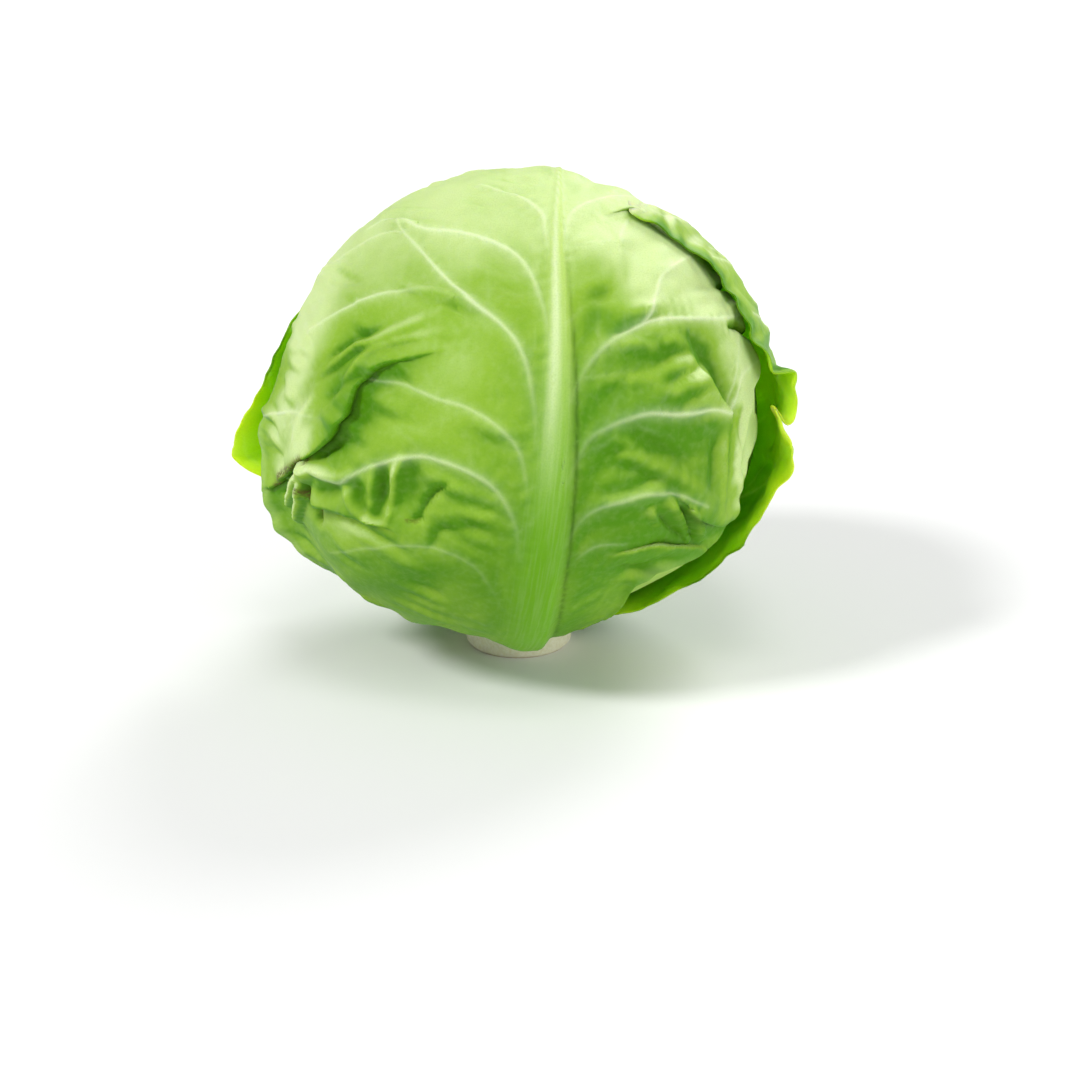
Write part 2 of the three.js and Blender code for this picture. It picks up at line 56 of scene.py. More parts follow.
# ---- the head's own form, as in its solids
HEAD_RADIUS = 87.5  # of the layer that shows in front, at its widest
CENTRE_HEIGHT = 86.0  # of the ball's middle above the cut
CROWN_DROP = 0.6  # how much flatter the head is on top
BOTTOM_DROP = 16.0  # and round the stump
LUMP = 1.1  # slow unevenness of the whole head
STUMP_RADIUS = 19.0
STEM_GAP = 0.6  # between the stem and each leaf's foot
STEM_PROFILE = [(17.5, 0), (19, 1.5), (19, 13), (17.2, 27), (14.5, 38), (9, 82), (5.5, 88)]
STEM_TOP = 90.0
LAYER_OFFSETS = [6.4, 2.8, 0, -4.1, -6.7, -9.3, -11.9]  # from the layer that shows in front
FRONT_LAYER = 2  # wrappers lie outside it, hidden leaves inside
HIDDEN_DROP = 0.3  # what a hidden leaf sinks, for itself and for each layer inside it

# ---- a leaf's own relief
BLADE = 1.0  # leaf thickness
RIM = 0.5  # leaf thickness at the margin
RIM_ZONE = 14.0  # how far in from the margin the leaf starts to thin
RIM_FLATTENING = 0.85  # how much of their height ribs and veins lose at the margin
COVERED_FLATTENING = 0.8  # how much of its relief a leaf loses under other leaves
SETTLE_FROM = 50.0  # a margin settles between these two distances from it
SETTLE_TO = 10.0
SAG = 2.3  # how far a blade sinks between its veins
SAG_WIDTH = 15.0
LEVEL_FROM = 2.0  # the depth from which a hollow levels off
LEVEL_WITHIN = 1.6  # how much deeper it can still get
FOLD = 1.6  # how much higher the folds stand than they are drawn
PUCKER = 0.1  # height of the small waves beside a vein
VEIN_HEIGHT = 0.6
VEIN_WIDTH = 0.78
HIDDEN_VEIN_WIDTH = 2.4  # times that, on hidden leaves
TWIG_WIDTH = 0.8
FRILL_WIDTH = 24.0
FRILL_BEARING = -91.0  # the middle of the frilled margin
FRILL_SPREAD = 20.0  # degrees to either side of it
WAVES = 26  # in each kind of ripples
RIB_END = 115.0  # where the midrib runs out, by y
RIB_LENGTH = 245.0
RIB_FOOT = -60.0  # below this y it keeps its height right to the margin

# Side veins of every leaf but the front one. A heading is the angle away from the tip, in degrees.
SIDE_VEIN_STARTS = range(-84, 70, 26)  # where they leave the midrib, by y
STAGGER = 8  # how much higher the right ones start
VEIN_PART = 7  # length of its straight parts
MOST_PARTS = 30
FORK_AFTER = 7  # parts
HEADING_AT_RIB = 20
HEADING_LOWEST = 74  # of the lowest vein, once it has turned outwards
HEADING_LESS = 5  # for each vein above it
HEADING_BACK = 1.6  # what each part turns back towards the tip

# ---- how fine the meshes are
SPACING = 2.6  # of the flat vertices before they are refined
HIDDEN_SPACING = 4.5
TYPICAL_MARGIN = 110.0  # how far out it is taken to lie when the rings of vertices are counted
GIRTH_RADIUS = 80.0  # of the ball on which the vertices of a ring are counted
GIRTH_ANGLE = 1.45  # how far out on it the margin lies, in radians
FEWEST_AROUND = 6
TOO_LONG = 1.4  # an edge is split when it is so many times as long as wanted
SPLITTING_ROUNDS = 6


def ramp(value, low, high):
    """Rises smoothly from 0 at low to 1 at high."""
    t = np.clip((value - low) / (high - low), 0, 1)
    return t * t * (3 - 2 * t)


def bell(value):
    """A smooth bump: 1 at 0, and next to nothing past 2 on either side."""
    return np.exp(-(value**2))


def bearing_of(x, y):
    """Degrees clockwise from the tip."""
    return np.degrees(np.arctan2(x, y))


def direction(azimuth, elevation):
    """A unit vector: azimuth 0 is the front, 90 the right."""
    a, e = math.radians(azimuth), math.radians(elevation)
    return np.array([math.sin(a) * math.cos(e), -math.cos(a) * math.cos(e), math.sin(e)])


# Flat places of the head: which way, how deep, and their spread in radians.
FLAT_PLACES = [(direction(-45, 45), 4.5, 0.59), (direction(113, 54), 4.2, 0.235)]


def head_radius(d):
    """How far out the layer that shows in front lies, in each direction."""
    up = np.maximum(0, d[:, 2])
    down = np.maximum(0, -d[:, 2])
    lumps = np.sin(3.1 * d[:, 0] + 1.2) * np.cos(2.6 * d[:, 1] - 0.5) + np.sin(4 * d[:, 2] + 2.2 * d[:, 0])
    drop = BOTTOM_DROP * (0.4 * down**2 + 0.6 * down**8)
    radius = HEAD_RADIUS - CROWN_DROP * up**2 - drop + LUMP * lumps * (1 - down**4)
    for towards, depth, spread in FLAT_PLACES:
        radius -= depth * bell(np.arccos(np.clip(d @ towards, -1, 1)) / spread)
    return radius


def layer_scale(d):
    """Layers lie closer over the crown and further apart round the stump."""
    return 1 - 0.1 * np.maximum(0, d[:, 2]) ** 2 + 0.4 * np.maximum(0, -d[:, 2]) ** 4


def stem_radius(z):
    radii, heights = zip(*STEM_PROFILE)
    return np.where(z < heights[0], STUMP_RADIUS, np.interp(z, heights, radii))


def rib_share(y):
    return np.clip((RIB_END - y) / RIB_LENGTH, 0, 1)


def rib_half_width(y):
    return 1.2 + 12.5 * rib_share(y) ** 1.25


def rib_height(y):
    return 0.5 + 4.2 * rib_share(y) ** 1.3


SUNNY = np.array([-0.55, -0.25, 0.8])  # the way towards the light: relief turned that way is painted paler, as painted light


# ---- drawing on a leaf
def around_leaf(points, column=1):
    """A smooth closed function of bearing through (bearing, value) points. It never overshoots them."""
    at = np.array([p[0] for p in points], float)
    value = np.array([p[column] for p in points], float)
    width = np.diff(np.append(at, at[0] + 360))
    slope = (np.roll(value, -1) - value) / width
    before = np.roll(slope, 1)
    same_way = slope * before > 0
    tangent = np.where(same_way, 2 * slope * before / np.where(same_way, slope + before, 1), 0)

    def value_at(bearing):
        b = np.mod(bearing, 360)
        i = np.searchsorted(at, b, side="right") - 1
        j = (i + 1) % len(at)
        t = (b - at[i]) / width[i]
        u = 1 - t
        between = value[i] * u * u * (1 + 2 * t) + value[j] * t * t * (1 + 2 * u)
        return between + tangent[i] * width[i] * t * u * u - tangent[j] * width[i] * t * t * u

    return value_at


class Path:
    """A smooth line through given points of a leaf."""

    STEP = 2.0  # about how long its straight parts are

    def __init__(self, points):
        p = np.array(points, float)
        ends = np.vstack([2 * p[0] - p[1], p, 2 * p[-1] - p[-2]])
        pieces = []
        for a, b, c, d in zip(ends, ends[1:], ends[2:], ends[3:]):
            t = np.linspace(0, 1, max(2, round(np.hypot(*(c - b)) / self.STEP)), endpoint=False)[:, None]
            bend = 2 * a - 5 * b + 4 * c - d + t * (3 * (b - c) + d - a)
            pieces.append(b + 0.5 * t * (c - a + t * bend))
        self.points = np.vstack(pieces + [p[-1:]])
        self.run = run = np.diff(self.points, axis=0)
        length = np.hypot(*run.T)
        self.along = np.append(0, np.cumsum(length))
        self.length = self.along[-1]
        right = np.column_stack([run[:, 1], -run[:, 0]]) / length[:, None]
        turned = np.vstack([right[:1], right[:-1] + right[1:], right[-1:]])
        self.right = turned / np.hypot(*turned.T)[:, None]

    def near(self, x, y, reach):
        """Which vertices lie within reach, how far out they are, how far along, to which side (1 is the
        right of the way that the path runs), and the way to its right there."""
        low, high = self.points.min(0) - reach, self.points.max(0) + reach
        close = np.flatnonzero((x > low[0]) & (x < high[0]) & (y > low[1]) & (y < high[1]))
        at = np.column_stack([x[close], y[close]])
        from_start = at[:, None] - self.points[None, :-1]
        t = np.clip((from_start * self.run).sum(2) / (self.run**2).sum(1), 0, 1)
        away = from_start - t[:, :, None] * self.run
        distance = np.hypot(away[:, :, 0], away[:, :, 1])
        best = distance.argmin(1)
        rows = np.arange(len(close))
        d, t, away = distance[rows, best], t[rows, best], away[rows, best]
        right = (1 - t)[:, None] * self.right[best] + t[:, None] * self.right[best + 1]
        side = np.where((away * right).sum(1) >= 0, 1, -1)
        along = (self.along[best] + t * np.hypot(*self.run[best].T)) / self.length
        kept = d < reach
        return close[kept], d[kept], along[kept], side[kept], right[kept]


def stops(values, share):
    """Evenly spaced values along a path, joined smoothly."""
    at = np.clip(share, 0, 1) * (len(values) - 1)
    i = np.minimum(at.astype(int), len(values) - 2)
    values = np.array(values, float)
    return values[i] + (values[i + 1] - values[i]) * ramp(at - i, 0, 1)


def ripples(x, y, seed, shortest, longest, headings=(0, 360)):
    """Even, seeded unevenness with a spread of about 1: many plane waves with lengths in that range. They
    run in the given headings, in degrees from x."""
    rng = np.random.default_rng(seed)
    total = np.zeros_like(x)
    for _ in range(WAVES):
        turn = 2 * math.pi / rng.uniform(shortest, longest)
        heading = math.radians(rng.uniform(*headings))
        total += np.sin(turn * (x * math.cos(heading) + y * math.sin(heading)) + rng.uniform(0, 7))
    return total / math.sqrt(WAVES / 2)


# ---- the leaves
# outline is (bearing, reach) from the tip, clockwise: degrees. curl is (bearing, angle, width): how steeply
# the margin lifts, in degrees, and over how many millimetres. settle sinks the margin, in millimetres.
# frill is (bearing, out, along, reach): how far the margin is moved to fold it, in millimetres. layer is a
# place in LAYER_OFFSETS, and wanted the length of a plain triangle's edge, in millimetres.
# A vein is (strength, points). A ridge is (heights, width, points), or has a right width and a left width.
# A pleat is (heights, overhang, spread, fall, points), raised on the right of the way that it runs.
FRONT_VEINS = [
    (0.8, [(-2, 60), (-3, 76), (-4, 86), (-13, 95), (-29, 106)]),
    (1, [(-3, 22), (-3, 35), (-6, 48), (-11, 60), (-19, 68), (-33, 75), (-48, 79), (-55, 82), (-62, 87),
         (-69, 91), (-76, 92), (-84, 89)]),
    (0.9, [(-5, -4), (-7, 11), (-11, 26), (-18, 36), (-31, 46), (-43, 58), (-53, 70), (-59, 77),
           (-62, 81), (-67, 90)]),
    (0.6, [(-43, 58), (-53, 70), (-59, 77), (-63, 81), (-70, 82), (-78, 81), (-88, 77), (-97, 74),
           (-108, 70)]),
    (0.8, [(-37, 47), (-45, 50), (-67, 49), (-85, 43), (-105, 35)]),
    (0.5, [(-6, -26), (-8, -13), (-13, -2), (-27, 7), (-39, 10), (-52, 14), (-66, 15)]),
    (0.7, [(-7, -44), (-10, -30), (-17, -19), (-25, -14), (-35, -11), (-43, -10), (-51, -12), (-61, -16),
           (-71, -22), (-75, -25), (-83, -24), (-90, -23)]),
    (0.9, [(-84, -1), (-90, -2), (-109, -2), (-141, -9)]),
    (0.25, [(-10, -70), (-22, -50), (-40, -44), (-62, -50), (-84, -62)]),
    (0.8, [(4, 62), (5, 76), (8, 85), (16, 93), (32, 101), (50, 107)]),
    (1, [(5, 12), (10, 23), (17, 31), (25, 36), (30, 39), (37, 42), (52, 44), (71, 47), (88, 52)]),
    (0.9, [(10, 23), (17, 31), (25, 36), (30, 39), (34, 44), (38, 52), (43, 61), (54, 69), (66, 77)]),
    (0.85, [(6, -14), (11, -1), (18, 4), (25, 7), (33, 9), (45, 9), (58, 11), (67, 10), (73, 15),
            (79, 25), (97, 32)]),
    (0.5, [(8, -38), (12, -28), (18, -23), (27, -20), (34, -18), (44, -18), (55, -21), (60, -23)]),
    (0.5, [(82, 41), (77, 31), (73, 23), (68, 12)]),
    (0.5, [(25, 68), (27, 76), (34, 88)]),
    (0.3, [(5, 69), (17, 72), (25, 73)]),
    (0.25, [(11, -46), (19, -38), (30, -37)]),
]
FRONT_PLEATS = [
    ([0, 0.6, 1.2, 2, 2.7, 2.9, 2.9, 2.8, 2.7, 2.5, 2.2], 0.8, 6, 1.3,
     [(-33, 28), (-43, 26), (-51, 24), (-61, 21), (-67, 17), (-71, 12), (-74, 3), (-80, -6), (-90, -15),
      (-106, -25), (-130, -45)]),
    ([0, 1, 1.8, 2.6, 3, 3], 0.7, 6, 1.6,
     [(-48, -41), (-56, -38), (-67, -37), (-74, -36), (-79, -36), (-90, -37)]),
    ([0, 1.2, 2, 2.1, 1.6, 0.4], 0.6, 4.2, 1.3,
     [(24, -43), (31, -41), (38, -40), (45, -40), (60, -43), (72, -46)]),
    ([0.6, 1.6, 2.2, 2, 1, 0], 0.6, 6.5, 1.2,
     [(54, 84), (50, 87), (43, 91), (37, 93), (32, 92), (27, 90), (22, 88)]),
    ([0, 2.2, 3.2, 2.6, 1.2], 0.5, 7, 1.8,
     [(94, -34), (86, -33), (76, -33), (68, -31), (60, -28), (54, -24)]),
]
FRONT_RIDGES = [
    # the long fold on the left: folds that run beside it, grooves across it and the dip under it
    ([0, 0.9, 1.1, 0.8, 0], 2.6, 2.2, [(-92, 12), (-76, 27), (-64, 31), (-45, 39), (-38, 43)]),
    ([0, 0.9, 0.8, 0.6, 0], 2.2, 1.8, [(-86, 3), (-79, 8), (-67, 24), (-46, 32), (-34, 33)]),
    ([0, -0.9, -0.9, 0], 1.6, 2.2, [(-62, 30), (-76, 24), (-83, 19), (-97, 11)]),
    ([0, -0.9, -1, 0], 1.5, 2, [(-64, 21), (-73, 15), (-78, 11), (-86, 4)]),
    ([0, -0.7, -0.7, 0], 1.4, 2, [(-58, 36), (-70, 33), (-82, 27), (-94, 18)]),
    ([0, -0.6, -0.7, 0], 1.4, 2, [(-44, 31), (-54, 29), (-63, 26), (-72, 19)]),
    ([0, -0.5, -0.9, -1.1, -1.1, -0.8, 0], 2, 9,
     [(-38, 25), (-52, 21), (-63, 17), (-68, 10), (-71, 0), (-77, -8), (-86, -16)]),
    ([0, -0.4, -0.6, -0.4, 0], 5, [(-88, 26), (-96, 16), (-103, 5), (-108, -4), (-114, -16)]),
    ([0, 0.5, 0.5, 0], 2.4, [(-90, 10), (-96, 2), (-102, -10), (-107, -20)]),
    # folds hanging from the vein that runs low on the left
    ([0.5, 1.4, 1.3, 0.7, 0], 1.6, [(-50, -12), (-52, -17), (-53, -24), (-54, -31), (-55, -39)]),
    ([0.3, 0.9, 0.6, 0], 1.7, [(-61, -18), (-61, -26), (-61, -36)]),
    ([-0.1, -1.5, -1.6, -0.8, 0], 2.7, [(-57, -13), (-57, -19), (-57, -25), (-58, -32), (-59, -40)]),
    ([-0.1, -1, -0.8, -0.3, 0], 3.4, [(-46, -10), (-46, -16), (-46, -22), (-47, -28), (-48, -35)]),
    ([-0.3, -1.1, -0.6, 0], 2.6, [(-68, -21), (-67, -27), (-65, -33), (-64, -40)]),
    ([0, 1, 1, 0.8, 0], 1.3, [(-74, -25), (-71, -29), (-68, -33), (-62, -37), (-55, -39)]),
    ([0, -1.2, -1.2, 0], 2.6, [(-72, -27), (-78, -29), (-83, -30), (-88, -30)]),
    ([1.4, 2, 1, 0], 2.4, 2.2, [(-96, -23), (-87, -23), (-77, -24), (-66, -19)]),
    ([0, -1.6, -1.6, 0], 2, 2.4, [(-76, -8), (-80, -12), (-85, -16), (-90, -19)]),
    # the gathered corner on the far left
    ([2, 2.6, 2.2, 1.5], 2.4, 2, [(-93, -24), (-101, -31), (-106, -38), (-118, -52)]),
    ([0, -2.4, -2.4, -1.5], 1.5, [(-97, -23), (-105, -28), (-112, -35), (-124, -48)]),
    ([1.5, 2.4, 2.2, 1.5], 2.2, 2, [(-91, -26), (-97, -33), (-101, -42), (-110, -58)]),
    ([-0.5, -4.2, -4.6, -2.5, 0], 1.7, 1.5, [(-94, -28), (-93, -33), (-91, -38), (-90, -43), (-89, -52)]),
    # the crease under the pinch, low on the left
    ([0, -1.3, -1.5, -0.6], 1.3, 1.2, [(-31, -17), (-36, -21), (-40, -26), (-43, -33)]),
    ([0, -1, 0], 1.2, [(-47, -35), (-44, -34), (-40, -33)]),
    ([0, -0.7, -0.9, -0.5], 3.2, 1.6, [(-40, -47), (-38, -42), (-35, -36), (-24, -34)]),
    ([0, 0.3, 0.3, 0], 2, [(-43, -33), (-36, -30), (-24, -30), (-12, -30)]),
    # the tent on the right
    ([0, 1.5, 1.7, 1.3], 6, 2.2, [(45, 35), (49, 30), (56, 21), (66, 10)]),
    ([0, -1.2, -1.9, -0.8], 2.6, 4.5, [(44, 40), (54, 34), (62, 27), (68, 14)]),
    ([0, 0.6, 0.6, 0], 2.2, [(84, 20), (82, 8), (80, -4), (78, -16)]),
    ([0, -0.6, 0], 2, [(78, 16), (77, 6), (76, -4)]),
    # tucks along the right margin
    ([0, -1.8, -2.4], 1.1, [(74, 62), (80, 64), (92, 68)]),
    ([0, -2.2, -2.8, -2], 1.3, 1.1, [(73, 43), (78, 45), (85, 46), (94, 44)]),
    ([0, 1, 1.2], 3.2, [(77, 70), (84, 71), (92, 73)]),
    ([0, 1, 1.2], 3.2, [(77, 54), (85, 55), (93, 56)]),
    # the swellings over the short tuck near the top and over the crown beside it
    ([0.5, 1.1, 1.2, 0.6], 11, [(30, 102), (40, 106), (52, 102), (62, 94)]),
    ([0, 0.8, 0.9, 0.6], 9, [(8, 113), (17, 117), (27, 117), (38, 113)]),
    # gathers below the lowest vein on the right
    ([0.4, 1.7, 1.9, 0.8], 1.5, 1.4, [(40, -18), (45, -22), (51, -28), (60, -39)]),
    ([0.4, 1.5, 1.8, 0.8], 1.4, 1.5, [(49, -21), (55, -26), (60, -31), (68, -40)]),
    ([-0.3, -2, -2.3, -0.9], 1.4, [(45, -20), (50, -25), (55, -31), (63, -40)]),
    ([0, -1.5, -1.7, -0.6], 1.7, [(38, -22), (42, -27), (48, -32), (58, -39)]),
    ([0, 0.8, 0.9, 0], 1.3, [(36, -21), (40, -28), (46, -33)]),
    ([0, -1, -1.2, -0.8, 0], 2.2, [(26, -48), (34, -49), (43, -51), (52, -55), (62, -60)]),
    # soft folds between the veins on the right
    ([0, 0.5, 0.6, 0.4, 0], 2.6, [(12, 16), (20, 19), (28, 20), (41, 21)]),
    ([0, 0.5, 0.5, 0], 2.4, [(33, 15), (40, 17), (49, 13), (56, 10)]),
    ([0, -0.6, -0.6, 0], 2.6, [(33, 32), (43, 31), (55, 29)]),
    ([0, 0.5, 0.5, 0], 2.6, [(15, 29), (24, 32), (35, 30), (45, 27)]),
    ([0, -0.7, -0.9, -0.6, 0], 3, [(22, 5), (28, 3), (37, -2), (46, -6), (54, -10)]),
    ([0, 0.7, 0.8, 0.7, 0.5, 0], 3, 2.6, [(18, 3), (24, -1), (35, -9), (44, -13), (53, -16), (68, -25)]),
    ([0, -0.6, -0.8, -0.6, 0], 2.6, [(17, -6), (23, -8), (32, -11), (43, -14), (52, -19)]),
    # folds that run beside the right margin
    ([0, 0.8, 0.9, 0.7, 0], 1.8, [(67, 6), (67, -2), (69, -17), (71, -28)]),
    ([0, -0.8, -0.8, 0], 2, 2.2, [(63, 6), (62, -3), (62, -17), (64, -22)]),
    ([0, 0.8, 0.8, 0.5], 1.8, [(73, 7), (75, 0), (80, -13), (85, -25)]),
]

# Dried brown creases: (strength, width, points).
FRONT_SCARS = [
    (1, 1.3, [(-96, -18), (-105, -24), (-114, -29), (-122, -36), (-128, -43)]),
    (0.9, 0.9, [(-92, -21), (-93, -19), (-97, -18)]),
    (1, 1.6, [(-97, -34), (-94, -35), (-92, -38), (-90, -42), (-89, -47)]),
    (0.6, 0.6, [(-48, -35), (-44, -35)]),
]

# Patches of waxy bloom and of painted light, and with a negative share of painted shade: (share, x, y,
# width, length).
FRONT_BLOOM_AND_LIGHT = [
    (0.6, -104, 4, 19, 36), (0.55, -124, -16, 16, 24), (0.35, -97, -12, 11, 11), (0.7, -112, 48, 18, 34),
    (-0.25, -78, 4, 12, 18), (0.7, -74, -43, 22, 7), (0.4, -36, 10, 24, 30),
    (0.2, -60, -8, 18, 14), (0.6, 58, 66, 24, 22), (1.3, 87, 12, 15, 36), (-0.15, 40, -28, 30, 20),
    (0.35, 27, 78, 16, 14), (-0.3, 20, 40, 12, 8), (-0.12, 38, 14, 30, 34), (0.35, 36, 48, 8, 8),
]

LEAVES = {}
LEAVES["wrapper_leaf_right"] = dict(
    azimuth=142, elevation=8, layer=0,
    outline=[
        (0, 47), (20, 48), (45, 53), (60, 57), (90, 60), (120, 62), (145, 71), (162, 85), (180, 95),
        (198, 85), (214, 78), (232, 76), (251, 77), (262, 76), (276, 73.5), (288, 70.5), (300, 68.5),
        (311, 69.5), (319, 73), (325, 76), (330, 78.5), (334, 74), (340, 62), (350, 51),
    ],
    curl=[
        (0, 1, 8), (30, 3, 8), (60, 12, 12), (90, 12, 12), (120, 20, 12), (150, 6, 8), (180, 0, 6),
        (210, 4, 8), (232, 14, 12), (245, 28, 14), (256, 36, 15), (264, 38, 15), (275, 34, 14),
        (284, 28, 12), (290, 24, 12), (300, 22, 12), (311, 20, 11), (319, 14, 10), (330, 6, 8),
        (343, 2, 8),
    ],
    settle=[
        (0, -3.8), (25, -3.2), (45, -2), (80, 0), (150, 0), (200, -1), (240, -1.9), (300, -2.6),
        (320, -3), (334, -3.1), (345, -4),
    ],
    frill=[
        (0, 0, 0, 0), (247, 0, 0, 0), (251.5, 0.7, 1, 0), (254.8, 1.4, 5.3, 0), (257.6, 4.4, 8.2, 0),
        (259.8, 5.8, 10.1, 0), (261.3, 5.6, 11.4, 0), (262.5, 4.3, 12.5, 1), (264.5, 4.3, 14.7, 2),
        (266.3, 4.2, 16.6, 3), (267.6, 3.6, 18, 4), (268.4, 3, 18.4, 4), (270, 3.4, 9, 2),
        (271.5, 5.1, 1.3, 0), (272.4, 6.2, 0, -2), (273.9, 7.3, 0, -4), (275.6, 8.3, 1.2, -4),
        (277.4, 7.7, 3, -3), (278.7, 8.7, 3.9, -2), (279.7, 8.9, 4.5, -2), (280.9, 6.6, 2.7, -2),
        (282.5, 3.9, 0, -1), (283.5, 2.1, -0.9, 0), (284.6, 2.6, 0, 0), (286, 2.9, 1.1, 0),
        (290, 0.8, 0, 0), (296, 0, 0, 0),
    ],
    seed=11, wanted=2,
)
LEAVES["wrapper_leaf_left"] = dict(
    azimuth=-138, elevation=6, layer=1,
    outline=[
        (0, 42), (16, 38), (33, 34), (50, 34), (62, 36), (70, 39.5), (82, 43), (97, 45.5), (108, 49.5),
        (114, 50), (122, 47.5), (130, 49.5), (138, 56), (149, 69), (164, 84), (180, 94), (196, 85),
        (215, 74), (240, 66), (270, 62), (300, 58), (330, 48),
    ],
    curl=[
        (0, 5, 8), (33, 8, 8), (60, 7, 10), (70, 9, 12), (78, 16, 15), (86, 27, 18), (94, 44, 21),
        (102, 66, 24), (108, 84, 27), (114.5, 98, 28.5), (118.5, 65, 22), (122, 43, 18), (130, 20, 13),
        (149, 8, 10), (180, 0, 6), (240, 6, 8), (300, 5, 8),
    ],
    settle=[(0, -1.6), (60, -1.6), (100, -1), (140, -0.6), (180, 0), (240, 0), (320, -1)],
    seed=12, wanted=2,
)
LEAVES["front_leaf"] = dict(
    azimuth=7.5, elevation=12, roll=5.5, layer=2,
    outline=[
        (0, 119), (14, 114), (28, 98), (45, 82), (52, 74), (58, 70), (66, 67.5), (71, 68.5), (74, 66),
        (78, 58.5), (82, 57), (85, 60), (89, 61), (97, 57.5), (104, 56), (110, 58), (117, 59),
        (128, 52.5), (137, 47.5), (144, 47), (150, 55), (157, 72), (165, 86), (180, 97), (196, 86),
        (211, 85), (229, 91.5), (240, 94.5), (250, 95), (260, 94), (270, 91.5), (285, 89), (300, 94),
        (316, 106), (338, 117),
    ],
    curl=[
        (0, 6, 8), (45, 4, 8), (66, 12, 10), (77, 16, 10), (88, 14, 10), (103, 16, 10), (117, 20, 10),
        (128, 28, 12), (137, 34, 12), (144, 26, 12), (157, 6, 8), (180, 0, 6), (211, 6, 8), (222, 13, 12),
        (230, 28, 18), (236, 46, 20), (241, 57, 20), (247, 57, 20), (255, 46, 20), (262, 36, 20),
        (268, 25, 18), (275, 17, 13), (290, 8, 10), (316, 4, 8),
    ],
    bend=lambda y: 1 + 7 * np.maximum(0, (y - 51) / 64) ** 2 + 8 * np.maximum(0, (-39 - y) / 96) ** 2,
    veins=FRONT_VEINS, pleats=FRONT_PLEATS, ridges=FRONT_RIDGES, bloom_and_light=FRONT_BLOOM_AND_LIGHT, scars=FRONT_SCARS,
    seed=13, wanted=2.05,
)
INNER_LEAVES = [("right", 92), ("left", -62), ("back", 176), ("front", 34)]
for place, (side, azimuth) in enumerate(INNER_LEAVES):
    LEAVES[f"inner_leaf_{side}"] = dict(
        azimuth=azimuth, elevation=6, layer=3 + place,
        outline=[
            (0, 80), (45, 72), (90, 64), (130, 66), (158, 80), (180, 94), (202, 80), (225, 68), (270, 64),
            (315, 72),
        ],
        seed=14 + place, wanted=4.5,
    )


def regular_veins(reach):
    """Side veins that leave the midrib at a narrow angle, turn outwards and fork once."""
    veins = []
    for side in (-1, 1):
        for step, start in enumerate(SIDE_VEIN_STARTS):
            turn = HEADING_LOWEST - HEADING_LESS * step - HEADING_AT_RIB
            path = [(side * 0.7 * rib_half_width(start), start + STAGGER * (side > 0))]
            fork = None
            for k in range(MOST_PARTS):
                x, y = path[-1]
                heading = HEADING_AT_RIB + turn * float(ramp(k, 0, 3)) - HEADING_BACK * k
                x += VEIN_PART * side * math.sin(math.radians(heading))
                y += VEIN_PART * math.cos(math.radians(heading))
                limit = 0.9 * HEAD_RADIUS * math.radians(reach(math.degrees(math.atan2(x, y))))
                if math.hypot(x, y) > limit:
                    break
                path.append((x, y))
                if k == FORK_AFTER:
                    fork = (x, y)
            if len(path) > 3:
                veins.append((0.9, path))
            if fork:
                x, y = fork
                veins.append((0.6, [fork, (x + side * 11, y + 13), (x + side * 19, y + 29)]))
    return veins


def twigs(veins, seed):
    """Faint short veins that leave the side veins by turns to the left and the right."""
    rng = np.random.default_rng(seed)
    made = []
    for strength, path in veins:
        at = rng.uniform(6, 10)
        side = 1
        while at < path.length - 4:
            i = min(int(np.searchsorted(path.along, at)), len(path.run) - 1)
            heading = math.atan2(path.run[i][1], path.run[i][0]) - side * math.radians(rng.uniform(38, 60))
            reach = rng.uniform(12, 24)
            bow = side * math.radians(rng.uniform(4, 14))
            points = [path.points[i]]
            for k in range(3):
                turned = heading + k * bow
                points.append(points[-1] + reach / 3 * np.array([math.cos(turned), math.sin(turned)]))
            made.append((0.16 * strength, Path(points)))
            at += rng.uniform(7, 14)
            side = -side
    return made


